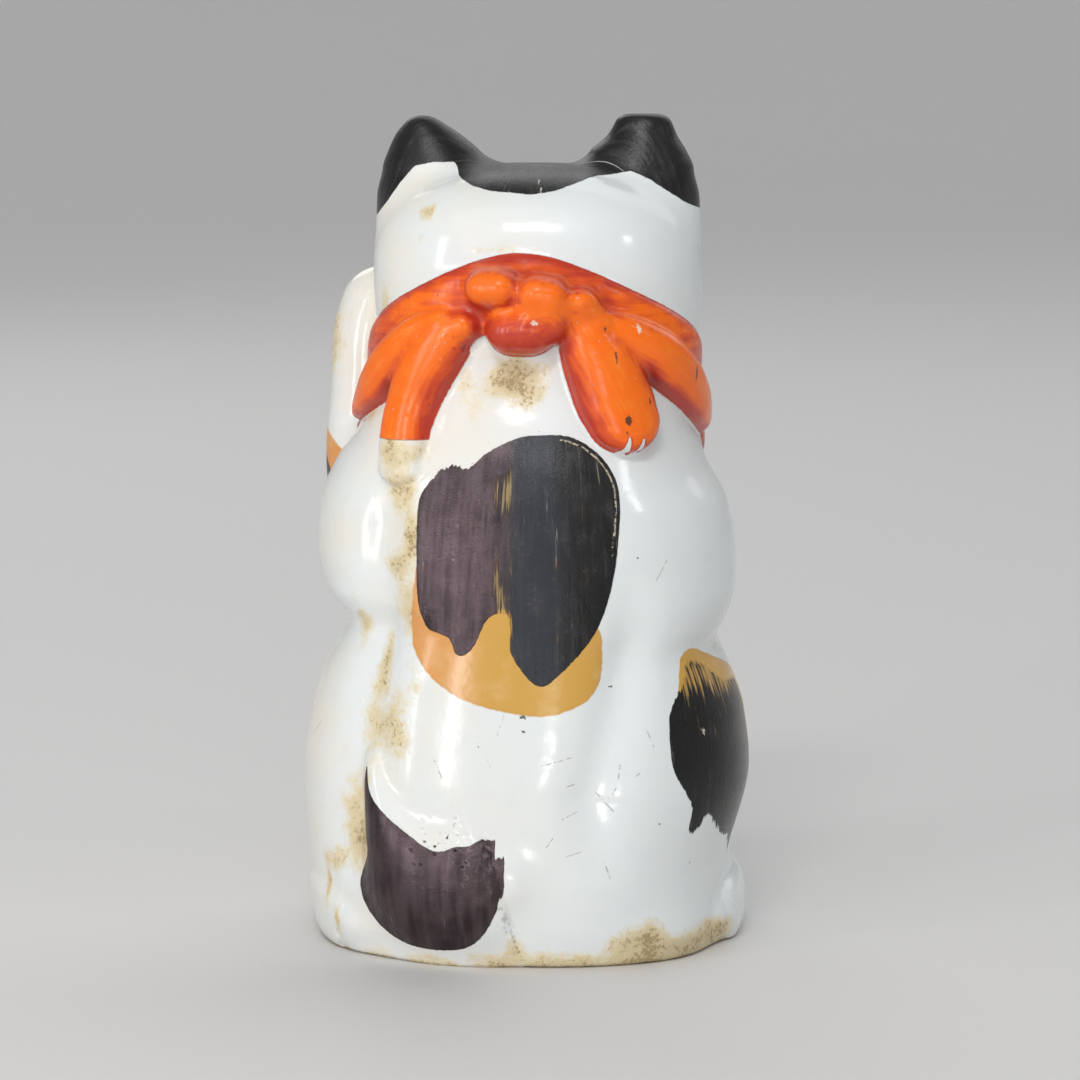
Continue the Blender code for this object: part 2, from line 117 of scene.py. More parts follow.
# Rolls of clay on the skin: each station is its angle, height, half-width and thickness.
ROLLS = {
    "bow_left_loop": (
        (60, 92.2, 1.5, 2.6), (51.3, 90.4, 2.4, 3.5), (43.7, 88.0, 2.8, 3.9), (36.4, 85.4, 3.0, 4.0),
        (26.9, 82.0, 3.0, 3.8), (14, 79.4, 2.8, 3.0), (6, 77.8, 2.3, 2.4),
    ),
    "bow_right_loop": (
        (120, 92.0, 1.8, 2.6), (128, 90.3, 2.8, 3.5), (140, 87.4, 3.4, 4.0), (152, 84.0, 3.5, 3.9),
        (170, 79.8, 3.4, 3.2), (186, 76.8, 3.0, 2.6),
    ),
    "bow_left_tail": (
        (68, 91.0, 2.2, 3.4), (61.5, 89.6, 3.5, 3.9), (53, 85.4, 4.1, 4.2), (48.0, 80.6, 3.8, 4.1),
        (46.8, 76.4, 3.4, 3.5), (47.4, 73.0, 3.1, 2.8), (48.0, 71.0, 2.9, 2.0),
    ),
    "bow_right_tail": (
        (112, 91.9, 2.2, 3.4), (116, 89.4, 3.7, 4.0), (121.8, 85.0, 4.8, 4.4), (126.5, 80.4, 5.2, 4.5),
        (128.8, 77.9, 4.9, 4.3),
    ),
    "bow_knot_left": ((78.4, 96.4, 3.1, 5.3), (83.2, 96.5, 3.1, 5.6)),
    "bow_knot_right": ((96.6, 95.7, 3.1, 6.0), (100.2, 95.5, 3.1, 5.9)),
    "bow_knot_lower": ((86.8, 90.2, 3.4, 5.2), (93.5, 90.5, 3.7, 5.8), (99.6, 91.3, 3.2, 5.4)),
    "tail": (
        (47.2, 29.0, 0.5, 0.6), (48.7, 25.5, 1.3, 1.4), (51.5, 21.0, 2.6, 2.0), (56, 16.0, 5.0, 2.4),
        (62, 12.2, 6.8, 2.6), (70, 10.4, 7.5, 2.6), (78, 10.8, 6.9, 2.4), (84, 12.0, 4.4, 1.6),
        (86.5, 12.4, 1.8, 0.8),
    ),
    "right_foreleg": (
        (251, 57.0, 2.4, 1.6), (250, 52.0, 4.8, 3.8), (248, 40.0, 5.5, 4.8), (247, 24.0, 5.5, 5.0),
        (246, 11.0, 5.8, 5.4), (246, 5.0, 6.6, 6.4), (246, 0.6, 6.2, 6.2),
    ),
    "left_hind_paw": (
        (38, 3.8, 3.0, 1.2), (33, 4.4, 4.2, 1.6), (14, 4.9, 4.7, 1.5), (-16, 4.8, 4.6, 1.9),
        (-40, 4.7, 4.5, 3.6), (-54, 4.6, 4.4, 5.4), (-62, 4.4, 3.6, 4.8), (-66, 4.2, 2.0, 3.0),
    ),
    "right_hind_paw": (
        (164, 3.8, 2.8, 1.2), (169, 4.1, 4.6, 2.3), (178, 4.2, 4.9, 2.6), (196, 4.4, 4.7, 2.8),
        (212, 4.6, 4.4, 3.8), (224, 4.5, 4.2, 5.0), (231, 4.3, 2.6, 3.4),
    ),
    "bib": (
        (241, 60.2, 2.0, 0.8), (246, 58.6, 4.6, 1.2), (257, 56.6, 6.0, 1.3), (270, 56.0, 6.4, 1.4),
        (283, 56.6, 6.0, 1.3), (294, 58.6, 4.6, 1.2), (299, 60.2, 2.0, 0.8),
    ),
}
# A smaller fold that belongs to the right knot.
FOLD_OF = "bow_knot_right"
FOLD = ((109.0, 94.7, 2.0, 4.6), (112.2, 94.5, 2.3, 4.8), (115.6, 93.4, 1.9, 4.0), (118.6, 92.2, 1.5, 3.0))
FOLD_BLEND = 0.8
# How softly each laid piece runs into what it lies on, and how square its section is.
ROLL_BLEND = {
    "bow_left_tail": 1.0, "bow_right_tail": 1.0, "tail": 3.0, "right_foreleg": 2.4,
    "left_hind_paw": 1.0, "right_hind_paw": 1.0, "bib": 0.4,
}
KNOTS = ("bow_knot_left", "bow_knot_right", "bow_knot_lower")
KNOT_BLENDS = (0.9, 2.2)
KNOTS_BLEND = 1.4
ROLL_BLEND_USUAL = 0.8
ROLL_POWER = 2.3
# A roll is worked out only from this far under the skin to this far over it.
ROLL_REACH = (-8, 14)

# Ears: height, centre x, centre y, half-width and half-depth of each section.
EARS = {
    "left_ear": np.array((
        (100.0, 13.0, 0.0, 6.8, 6.2), (108.0, 13.4, 0.0, 8.2, 7.2), (112.0, 12.8, 0.2, 8.0, 6.4),
        (114.6, 13.3, 0.5, 6.6, 5.2), (117.0, 14.1, 0.9, 4.6, 3.7), (118.9, 14.7, 1.3, 2.4, 2.1),
        (120.5, 15.0, 1.4, 0.6, 0.5),
    ), float),
    "right_ear": np.array((
        (100.0, -17.0, 0.0, 6.8, 6.2), (108.0, -16.9, 0.0, 8.3, 7.2), (112.0, -16.2, 0.2, 8.2, 6.4),
        (114.6, -16.4, 0.5, 7.0, 5.3), (117.0, -17.0, 0.9, 5.0, 3.9), (119.0, -17.2, 1.3, 4.0, 2.8),
        (121.0, -17.2, 1.4, 3.0, 1.9),
    ), float),
}
EAR_TOPS = {"left_ear": 119.6, "right_ear": 120.0}
EAR_FOOT = 103.0
EAR_ROUNDING = 1.0
EAR_BLEND = 3.0
# The hollows in the ears' fronts: half-sizes, how far past its edge the pink reaches, and places.
EAR_HOLLOW = (3.6, 2.6, 5.2)
EAR_HOLLOW_BLEND = 1.2
EAR_PINK = 0.15
EAR_HOLLOW_PLACES = ((13.4, -6.4, 112.4), (-16.6, -6.4, 112.6))
# Raised arm: x, y, height and radius along its middle.
RAISED_ARM = np.array((
    (20.8, -8.6, 54.0, 5.2), (23.8, -9.4, 62.0, 6.2), (24.7, -10.4, 70.0, 6.2), (24.2, -11.6, 78.0, 6.1),
    (23.8, -12.6, 86.0, 6.3), (22.8, -13.2, 90.4, 6.2),
), float)
ARM_BLEND = 1.4
# The arm is worked out only in this box; everywhere else counts as ARM_FAR away.
ARM_LOW = (6, -99, 42)
ARM_HIGH = (99, 6, 108)
ARM_FAR = 40.0
# Lines between the toes: angle, height and rise over the skin of both ends.
TOE_LINES = (
    (243, 0.6, 6.3, 243.4, 6.6, 5.9), (249, 0.6, 6.3, 248.6, 6.6, 5.9),
    (304, 3.2, 5.3, 294, 3.2, 4.6), (304, 6.2, 5.0, 294, 6.0, 4.2),
    (221, 3.2, 5.0, 230, 3.2, 4.0), (221, 6.0, 4.6, 230, 5.8, 3.6),
    (319.5, 87.6, 10.6, 319.0, 95.4, 8.2), (326.5, 87.6, 11.0, 326.5, 95.4, 8.4),
)
TOE_DEPTH = 0.7
TOE_WIDTH = 0.5
BELL_PLACE = (-1.4, -27.6, 59.0)
BELL_RADIUS = 4.4
BELL_BLEND = 0.4
# The two ridges round the bell's waist, and the slit under them: its half-width, how far in front
# of the middle it ends and how far under the middle it starts.
BELL_RIDGE = 0.35
BELL_RIDGE_LEVEL = 0.5
BELL_SLIT = 0.45
BELL_SLIT_END = 2.4
BELL_SLIT_TOP = 0.6


def smooth_rows(rows, steps):
    """Rows of numbers, with steps - 1 more between each two, on a Catmull-Rom curve."""
    points = np.array(rows, float)
    padded = np.vstack([2 * points[0] - points[1], points, 2 * points[-1] - points[-2]])
    finer = []
    for i in range(len(points) - 1):
        before, start, end, after = padded[i : i + 4]
        for t in np.arange(steps) / steps:
            finer.append(
                start
                + 0.5 * t * (end - before)
                + t * t * (before - 2.5 * start + 2 * end - 0.5 * after)
                + 0.5 * t**3 * (3 * start - before - 3 * end + after)
            )
    finer.append(points[-1])
    return np.array(finer)


def monotone_table(rows, step=0.1):
    """Columns of rows sampled at even steps of the first one, on curves that never overshoot."""
    heights = rows[:, 0]
    places = np.arange(heights[0], heights[-1] + step, step)
    columns = [places]
    for values in rows[:, 1:].T:
        rise = np.diff(values) / np.diff(heights)
        before, after = rise[:-1], rise[1:]
        turning = before * after <= 0
        middle = np.where(turning, 0.0, 2 * before * after / np.where(turning, 1.0, before + after))
        slopes = np.concatenate([rise[:1], middle, rise[-1:]])
        i = np.clip(np.searchsorted(heights, places) - 1, 0, len(heights) - 2)
        span = heights[i + 1] - heights[i]
        t = np.clip((places - heights[i]) / span, 0, 1)
        columns.append(
            (2 * t**3 - 3 * t**2 + 1) * values[i]
            + (t**3 - 2 * t**2 + t) * span * slopes[i]
            + (3 * t**2 - 2 * t**3) * values[i + 1]
            + (t**3 - t**2) * span * slopes[i + 1]
        )
    return np.array(columns)


BODY_TABLE = monotone_table(BODY)
EAR_TABLES = {name: monotone_table(rows) for name, rows in EARS.items()}


def fade(value, start, end):
    return np.clip((value - start) / (end - start), 0.0, 1.0)


def ease(value, start, end):
    t = fade(value, start, end)
    return t * t * (3 - 2 * t)


def soft_min(a, b, blend):
    overlap = np.maximum(blend - np.abs(a - b), 0.0) / blend
    return np.minimum(a, b) - overlap * overlap * blend / 4


def soft_max(a, b, blend):
    return -soft_min(-a, -b, blend)


def angle_gap(angle, middle):
    return (angle - middle + 180) % 360 - 180


def from_segment(spots, start, end):
    """How far along a segment each spot's nearest place is, from 0 to 1, and the step from there."""
    along = end - start
    share = np.clip((spots - start) @ along / max(along @ along, 1e-9), 0, 1)
    return share, spots - start - share[:, None] * along


def inside_loops(places, segments):
    """Which flat places lie inside the closed loops that the segments make up."""
    odd = np.zeros(len(places), bool)
    for start, end in segments:
        crosses = (start[1] > places[:, 1]) != (end[1] > places[:, 1])
        if crosses.any():
            share = (places[:, 1] - start[1]) / (end[1] - start[1])
            odd ^= crosses & (places[:, 0] < start[0] + share * (end[0] - start[0]))
    return odd


def valley(angle, height):
    """How deep the soft hollows between the back and the limbs are here."""
    deep = 0.0
    for (low, high), depth, turning, deepening, fading in VALLEYS:
        middle = low + (high - low) * fade(height, *turning)
        shape = depth * np.exp(-((angle_gap(angle, middle) / VALLEY_WIDTH) ** 2))
        deep = deep + shape * fade(height, *deepening) * fade(height, *fading)
    return deep


def skin_radius(angle, height):
    """Distance of the skin from the axis; angle in degrees."""
    turn = np.radians(angle)
    widths = [np.interp(height, BODY_TABLE[0], column) for column in BODY_TABLE[1:]]
    across = np.where(np.cos(turn) > 0, widths[0], widths[1])
    along = np.where(np.sin(turn) > 0, widths[2], widths[3])
    power = np.abs(np.cos(turn) / across) ** SQUARENESS + np.abs(np.sin(turn) / along) ** SQUARENESS
    radius = power ** (-1 / SQUARENESS) - valley(angle, height)
    for middle, level, wide, tall, high in RISES:
        gap = angle_gap(angle, middle)
        radius += high * np.exp(-((gap / wide) ** 2) - ((height - level) / tall) ** 2)
    return radius


def round_axis(points):
    """(angle in degrees, distance from the axis, height) of points."""
    x, y = points[:, 0] - AXIS[0], points[:, 1] - AXIS[1]
    return np.degrees(np.arctan2(y, x)) % 360, np.hypot(x, y), points[:, 2]


def skin_gap(points):
    """How far points are outside the skin of the body and head; negative inside."""
    angle, reach, height = round_axis(points)
    radius = skin_radius(angle, np.minimum(height, HEAD_LEVEL))
    cap = np.maximum(height - CAP_START, 0.0) / (CROWN - CAP_START)
    gap = radius * (((reach / radius) ** CAP_POWER + cap**CAP_POWER) ** (1 / CAP_POWER) - 1)
    return soft_max(gap, -height, FOOT_ROUNDING)


def unrolled(angle, level):
    """Distance round the skin, in millimetres, from the back's middle to an angle at one height."""
    turns = np.arange(-180, 361 + 180, 2.0)
    radius = skin_radius(turns % 360, np.full(len(turns), float(level)))
    steps = np.concatenate([[0], np.cumsum((radius[1:] + radius[:-1]) / 2 * math.radians(2.0))])
    return np.interp(angle, turns, steps - np.interp(90.0, turns, steps))


class Spine:
    """The middle line of a roll, unrolled flat, with its half-width and thickness."""

    def __init__(self, stations):
        rows = smooth_rows(stations, 4)
        self.level = rows[:, 1].mean()
        self.middle = rows[:, 0].mean()
        self.places = np.column_stack([unrolled(rows[:, 0], self.level), rows[:, 1]])
        self.widths, self.thicknesses = rows[:, 2], rows[:, 3]
        margin = self.widths.max() + 5.0
        self.low = self.places.min(axis=0) - margin
        self.high = self.places.max(axis=0) + margin

    def flat(self, angle, height):
        near = self.middle + angle_gap(angle, self.middle)
        return np.column_stack([unrolled(near, self.level), height])

    def close(self, flat):
        return ((flat > self.low) & (flat < self.high)).all(axis=1)

    def measure(self, flat):
        """(distance to the middle line, half-width and thickness there, share of the way along)."""
        best = np.full(len(flat), 1e9)
        spot = np.zeros(len(flat))
        for i, (start, end) in enumerate(zip(self.places, self.places[1:])):
            share, step = from_segment(flat, start, end)
            distance = np.hypot(*step.T)
            nearer = distance < best
            best[nearer] = distance[nearer]
            spot[nearer] = i + share[nearer]
        stations = np.arange(len(self.places))
        width = np.interp(spot, stations, self.widths)
        thickness = np.interp(spot, stations, self.thicknesses)
        return best, width, thickness, spot / stations[-1]


SPINES = {name: Spine(stations) for name, stations in ROLLS.items()}
FOLD_SPINE = Spine(FOLD)


def roll_gap(spine, angle, height, above):
    """How far places are outside a roll; above is their height over the skin."""
    gap = np.full(len(angle), FAR)
    flat = spine.flat(angle, height)
    near = spine.close(flat) & (above > ROLL_REACH[0]) & (above < ROLL_REACH[1])
    distance, width, thickness, _ = spine.measure(flat[near])
    section = (distance / width) ** ROLL_POWER + (np.abs(above[near]) / thickness) ** ROLL_POWER
    gap[near] = (section ** (1 / ROLL_POWER) - 1) * np.minimum(width, thickness)
    return gap


def collar_middle(angle):
    turn = np.radians(angle)
    return COLLAR_HEIGHT + COLLAR_TILT * np.sin(turn) - COLLAR_DIP * np.sin(2 * turn) ** 2


def collar_gap(angle, height, above):
    section = (np.abs(height - collar_middle(angle)) / COLLAR_HALF_WIDTH) ** ROLL_POWER
    section += (np.abs(above) / COLLAR_THICKNESS) ** ROLL_POWER
    return (section ** (1 / ROLL_POWER) - 1) * COLLAR_THICKNESS


def ear_gap(name, points):
    centre_x, centre_y, half_x, half_y = (
        np.interp(points[:, 2], EAR_TABLES[name][0], column) for column in EAR_TABLES[name][1:]
    )
    section = ((points[:, 0] - centre_x) / half_x) ** 2 + ((points[:, 1] - centre_y) / half_y) ** 2
    side = (np.sqrt(section) - 1) * np.minimum(half_x, half_y)
    gap = soft_max(side, points[:, 2] - EAR_TOPS[name], EAR_ROUNDING)
    return soft_max(gap, EAR_FOOT - points[:, 2], EAR_ROUNDING)


def ear_hollows(points):
    """How far points are outside the hollows of the ears, which face forward."""
    gaps = [
        (np.linalg.norm((points - np.array(centre)) / EAR_HOLLOW, axis=1) - 1) * min(EAR_HOLLOW)
        for centre in EAR_HOLLOW_PLACES
    ]
    return np.minimum(*gaps)


def arm_gap(points):
    gap = np.full(len(points), ARM_FAR)
    near = ((points > ARM_LOW) & (points < ARM_HIGH)).all(axis=1)
    spots = points[near]
    best = np.full(len(spots), ARM_FAR)
    rows = smooth_rows(RAISED_ARM, 3)
    for start, end in zip(rows, rows[1:]):
        share, step = from_segment(spots, start[:3], end[:3])
        best = np.minimum(best, np.linalg.norm(step, axis=1) - start[3] - share * (end[3] - start[3]))
    gap[near] = best
    return gap


def bell_gap(points):
    offset = points - np.array(BELL_PLACE)
    across, forward, up = offset.T
    ball = np.linalg.norm(offset, axis=1) - BELL_RADIUS
    waist = BELL_RIDGE - np.hypot(np.abs(up) - BELL_RIDGE_LEVEL, np.hypot(across, forward) - BELL_RADIUS)
    slit = np.maximum(forward + BELL_SLIT_END, up + BELL_SLIT_TOP)
    slit = np.maximum(np.abs(across) - BELL_SLIT, slit)
    return soft_max(soft_max(ball, -slit, 0.3), waist, 0.4)


def grooves(points):
    """How deep the lines between the toes are cut at points."""
    depth = np.zeros(len(points))
    for line in TOE_LINES:
        angle, height, rise = np.array(line, float).reshape(2, 3).T
        reach = skin_radius(angle % 360, height) + rise
        turn = np.radians(angle)
        places = np.column_stack([AXIS[0] + reach * np.cos(turn), AXIS[1] + reach * np.sin(turn), height])
        near = ((points > places.min(axis=0) - 2) & (points < places.max(axis=0) + 2)).all(axis=1)
        distance = np.linalg.norm(from_segment(points[near], *places)[1], axis=1)
        depth[near] += TOE_DEPTH * np.exp(-((distance / TOE_WIDTH) ** 2))
    return depth


PARTS = ["skin", "collar_band", *ROLLS, "left_ear", "right_ear", "raised_left_arm", "bell"]


def part_gaps(points):
    """One row for each of PARTS: how far the points are outside it."""
    angle, _, height = round_axis(points)
    skin = skin_gap(points)
    gaps = [skin, collar_gap(angle, height, skin)]
    for name in ROLLS:
        gap = roll_gap(SPINES[name], angle, height, skin)
        if name == FOLD_OF:
            gap = soft_min(gap, roll_gap(FOLD_SPINE, angle, height, skin), FOLD_BLEND)
        gaps.append(gap)
    gaps += [ear_gap("left_ear", points), ear_gap("right_ear", points), arm_gap(points), bell_gap(points)]
    return gaps


def outside(points):
    """The whole figurine's field: negative inside, and smooth over every joint."""
    gaps = dict(zip(PARTS, part_gaps(points)))
    field = soft_min(gaps["skin"], gaps["collar_band"], COLLAR_BLEND)
    for name in ROLLS:
        if name not in KNOTS:
            field = soft_min(field, gaps[name], ROLL_BLEND.get(name, ROLL_BLEND_USUAL))
    knots = gaps[KNOTS[0]]
    for name, blend in zip(KNOTS[1:], KNOT_BLENDS):
        knots = soft_min(knots, gaps[name], blend)
    field = soft_min(field, knots, KNOTS_BLEND)
    field = soft_min(field, gaps["left_ear"], EAR_BLEND)
    field = soft_min(field, gaps["right_ear"], EAR_BLEND)
    field = soft_max(field, -ear_hollows(points), EAR_HOLLOW_BLEND)
    field = soft_min(field, gaps["raised_left_arm"], ARM_BLEND)
    field = soft_min(field, gaps["bell"], BELL_BLEND)
    return soft_max(field + grooves(points), -points[:, 2], TABLE_ROUNDING)


# ---- Meshing the field ----------------------------------------------------------------------------
GRID_LOW = np.array((-36.0, -35.0, -2.0))
GRID_HIGH = np.array((36.0, 35.0, 122.0))
# The grid is worked out in blocks of this many steps a side, and only where a block's middle is
# this near to the surface; everywhere else it is far from it.
BLOCK = 4
NEAR = 4.5


def sample_field():
    """The field on a grid of VOXEL spacing, worked out only near the surface."""
    blocks = np.ceil((GRID_HIGH - GRID_LOW) / (VOXEL * BLOCK)).astype(int)
    ticks = [GRID_LOW[i] + (np.arange(blocks[i]) + 0.5) * VOXEL * BLOCK for i in range(3)]
    centres = np.stack(np.meshgrid(*ticks, indexing="ij"), axis=-1).reshape(-1, 3)
    coarse = outside(centres).reshape(blocks)
    grid = np.kron(np.sign(coarse), np.ones((BLOCK, BLOCK, BLOCK))) * FAR
    busy = np.argwhere(np.abs(coarse) < NEAR)
    steps = np.stack(np.meshgrid(*[np.arange(BLOCK)] * 3, indexing="ij"), axis=-1).reshape(-1, 3)
    nodes = (busy[:, None, :] * BLOCK + steps[None]).reshape(-1, 3)
    batches = np.array_split(nodes, max(len(nodes) // 400000, 1))
    grid[tuple(nodes.T)] = np.concatenate([outside(GRID_LOW + batch * VOXEL) for batch in batches])
    return grid


def surface_net(grid):
    """Points and quads where the field crosses zero: one point in each cell that the surface crosses."""
    inside = grid < 0
    corners = [(i, j, k) for i in (0, 1) for j in (0, 1) for k in (0, 1)]
    size = np.array(grid.shape) - 1

    def shifted(array, corner):
        return array[tuple(slice(c, c + n) for c, n in zip(corner, size))]

    count = sum(shifted(inside, corner).astype(np.int8) for corner in corners)
    cells = np.argwhere((count > 0) & (count < 8))
    total = np.zeros((len(cells), 3))
    crossings = np.zeros(len(cells))
    for axis in range(3):
        for corner in corners:
            if corner[axis]:
                continue
            start = cells + corner
            end = start.copy()
            end[:, axis] += 1
            low, high = grid[tuple(start.T)], grid[tuple(end.T)]
            crossed = (low < 0) != (high < 0)
            share = low[crossed] / (low[crossed] - high[crossed])
            spot = start[crossed].astype(float)
            spot[:, axis] += share
            total[crossed] += spot
            crossings[crossed] += 1
    points = GRID_LOW + total / crossings[:, None] * VOXEL
    index = np.full(size, -1, np.int32)
    index[tuple(cells.T)] = np.arange(len(cells))
    quads = []
    for axis in range(3):
        u, v = (axis + 1) % 3, (axis + 2) % 3
        low = [slice(1, -1)] * 3
        high = [slice(1, -1)] * 3
        low[axis], high[axis] = slice(0, -1), slice(1, None)
        first, second = inside[tuple(low)], inside[tuple(high)]
        nodes = np.argwhere(first != second)
        filled_low = first[tuple(nodes.T)]
        offset = np.ones(3, int)
        offset[axis] = 0
        nodes = nodes + offset
        ring = []
        for du, dv in ((-1, -1), (0, -1), (0, 0), (-1, 0)):
            cell = nodes.copy()
            cell[:, u] += du
            cell[:, v] += dv
            ring.append(index[tuple(cell.T)])
        faces = np.stack(ring, axis=1)
        faces[~filled_low] = faces[~filled_low][:, ::-1]
        quads.append(faces)
    return points, np.concatenate(quads)


def slope(points, step=0.04):
    """The field and its gradient at points."""
    middle = outside(points)
    slopes = [(outside(points + step * np.eye(3)[i]) - middle) / step for i in range(3)]
    return middle, np.stack(slopes, axis=1)


def neighbour_mean(points, quads):
    total = np.zeros_like(points)
    count = np.zeros(len(points))
    for i in range(4):
        for j in (i + 1, i + 3):
            np.add.at(total, quads[:, i], points[quads[:, j % 4]])
            np.add.at(count, quads[:, i], 1)
    return total / count[:, None]


def settle(points, quads):
    """Evens the points out along the surface and puts them on it; returns them with their normals."""
    for smoothing in (0.5, 0.5, 0.3):
        points = points + smoothing * (neighbour_mean(points, quads) - points)
        for _ in range(2 if smoothing < 0.4 else 1):
            value, gradient = slope(points)
            length = np.maximum((gradient**2).sum(axis=1), 0.05)
            move = -(value / length)[:, None] * gradient
            reach = np.linalg.norm(move, axis=1, keepdims=True)
            points = points + move * np.minimum(1, VOXEL / np.maximum(reach, 1e-9))
    _, gradient = slope(points)
    normals = gradient / np.maximum(np.linalg.norm(gradient, axis=1, keepdims=True), 1e-9)
    return points, normals


def share_out(points, quads):
    """Which node each quad belongs to; the flat foot, which the base slab fills, belongs to none."""
    centres = points[quads].mean(axis=1)
    angle, reach, height = round_axis(centres)
    owner = np.argmin(np.array(part_gaps(centres)), axis=0)
    owner[(height < 2) & (reach < skin_radius(angle, height) - 0.1)] = 0
    for _ in range(3):
        votes = np.zeros((len(points), len(PARTS)), np.int16)
        for i in range(4):
            np.add.at(votes, (quads[:, i], owner), 1)
        owner = votes[quads].sum(axis=1).argmax(axis=1)
    names = np.array(PARTS, dtype=object)[owner]
    skin = names == "skin"
    names[skin] = np.where(centres[skin, 1] >= AXIS[1], "back_shell", "front_shell")
    names[skin & (height < 0.15)] = ""
    return names


def toward_skin(points, depth):
    """Points moved along a ray from the axis, or from the head's middle, to depth under the skin."""
    heart = np.column_stack([
        np.full(len(points), AXIS[0]), np.full(len(points), AXIS[1]), np.minimum(points[:, 2], CAP_START)
    ])
    ray = points - heart
    length = np.maximum(np.linalg.norm(ray, axis=1, keepdims=True), 1e-6)
    ray = ray / length
    low, high = np.zeros(len(points)), np.full(len(points), 60.0)
    for _ in range(22):
        middle = (low + high) / 2
        spot = heart + ray * middle[:, None]
        spot[:, 2] = np.maximum(spot[:, 2], 2.0)
        within = skin_gap(spot) < 0
        low, high = np.where(within, middle, low), np.where(within, high, middle)
    return heart + ray * np.maximum(low - depth, 1.0)[:, None]


# ---- Paint ----------------------------------------------------------------------------------------
# Closed outlines of brushed enamel on the skin, as (angle, height).
BLACK_OUTLINES = {
    "back": (
        (62.5, 70.5), (67, 71.4), (72, 70.9), (77, 72.8), (83, 74.2), (89, 75.2), (94, 75.6), (105.5, 75.7),
        (112, 75), (116, 74), (121, 71.9), (123.8, 69), (123.8, 65.8), (121.7, 59.8), (119.4, 54.1),
        (115.6, 49.2), (111, 46), (105, 43), (100, 40.9), (97, 40.6), (94, 41.6), (90.5, 43.6), (88, 46),
        (88.3, 48.5), (87.5, 50.6), (84.5, 50.8), (81, 49.8), (79, 47.8), (77, 45.9), (74, 44.7), (71.5, 45),
        (69.5, 47), (65, 47.8), (61.8, 48.6), (59.2, 52.3), (58.2, 57.9), (57.4, 62), (57, 66.5), (59.6, 69),
    ),
    "thigh": (
        (134.1, 33.1), (134.9, 35.9), (138.2, 38.2), (142.5, 40.4), (145, 42.3), (150, 42.6), (157, 41.2),
        (163, 39), (170, 38.6), (180, 38), (187, 36), (189.5, 32), (188, 26), (184, 21.5), (179, 18),
        (174, 15.2), (171.3, 13.2), (168, 14.8), (163, 16.4), (158, 16.8), (151, 19.3), (146.6, 20.8),
        (143.3, 18.6), (140.2, 19.1), (140.6, 22.3), (137.8, 25.1), (134.5, 28.2),
    ),
    "tail": (
        (46.2, 29.3), (46.4, 26.7), (46.2, 20.8), (48, 17.5), (48.5, 15.3), (46.3, 13.2), (45.2, 11),
        (47, 8), (51.5, 5.2), (58.5, 3.1), (67.5, 2.5), (75.5, 2.9), (81, 4.7), (85, 8), (87.4, 12),
        (87.2, 14.2), (87.6, 16.2), (85, 16.6), (84.6, 18.6), (81, 18.9), (78, 18), (74.6, 17.9), (71, 17.2),
        (67, 17.6), (60, 20), (55, 21.9), (49.6, 24.7), (47.6, 27.4),
    ),
    "left_shoulder": (
        (327, 70), (334, 72), (343, 70.5), (350, 65), (352, 58), (347, 51), (338, 48), (329, 50), (324, 57),
        (323, 64),
    ),
    "front_flank": (
        (200, 66), (207, 70), (216, 70.5), (224, 67), (228, 61), (225, 54), (217, 49.5), (208, 50), (202, 55),
        (199, 60),
    ),
}
OCHRE_OUTLINES = {
    "under_back": (
        (58, 57), (57.2, 52.2), (56.6, 48.5), (57.4, 45.4), (62.5, 42.2), (69.7, 39.5), (79.7, 37.6),
        (90.1, 36.5), (100.3, 36.4), (109.1, 37.7), (114.7, 40), (116.6, 42.8), (116.6, 46), (114.6, 49.5),
        (100, 60), (80, 60),
    ),
    "under_thigh": (
        (136, 33), (138.6, 38.2), (141.6, 42), (144, 44), (150, 44.6), (157, 43.6), (166, 42.2), (175, 41),
        (184, 39.2), (190, 36.5), (192, 32), (186, 27), (160, 24), (140, 26),
    ),
    "under_left_shoulder": (
        (333, 73), (342, 73.6), (351, 70), (357, 63), (357, 55), (351, 49.5), (343, 52), (334, 62),
    ),
    "under_front_flank": (
        (198, 57), (197, 52), (202, 47.5), (211, 46), (220, 46.5), (227, 50), (229, 55), (222, 60),
        (208, 60),
    ),
}
# The black enamel of the crown reaches down to this height at each x, behind and in front.
CROWN_BEHIND = (
    (-27, 105.5), (-23.5, 107.6), (-21, 109.3), (-18.3, 111.1), (-15.8, 112.1), (-12.9, 111.6),
    (-10.2, 111.3), (-8.4, 110.6), (-5.6, 109.6), (-2.3, 109.2), (-0.1, 109.3), (3.5, 109.6), (6.5, 110.3),
    (8.7, 111.3), (9.5, 113.2), (12.7, 113.1), (15.4, 112.6), (17.4, 110.3), (19.3, 107.6), (21, 105.6),
    (24, 103.5),
)
CROWN_BEFORE = (
    (-27, 104), (-23, 106.5), (-20, 109.5), (-16, 111), (-12, 110), (-9, 106.5), (-6, 104.5), (-3.4, 107.5),
    (-1.4, 110.5), (0.6, 107.5), (3.2, 104.5), (6.2, 106.5), (9.2, 110), (13.2, 111), (17.2, 109.5),
    (20.2, 106.5), (24, 104),
)
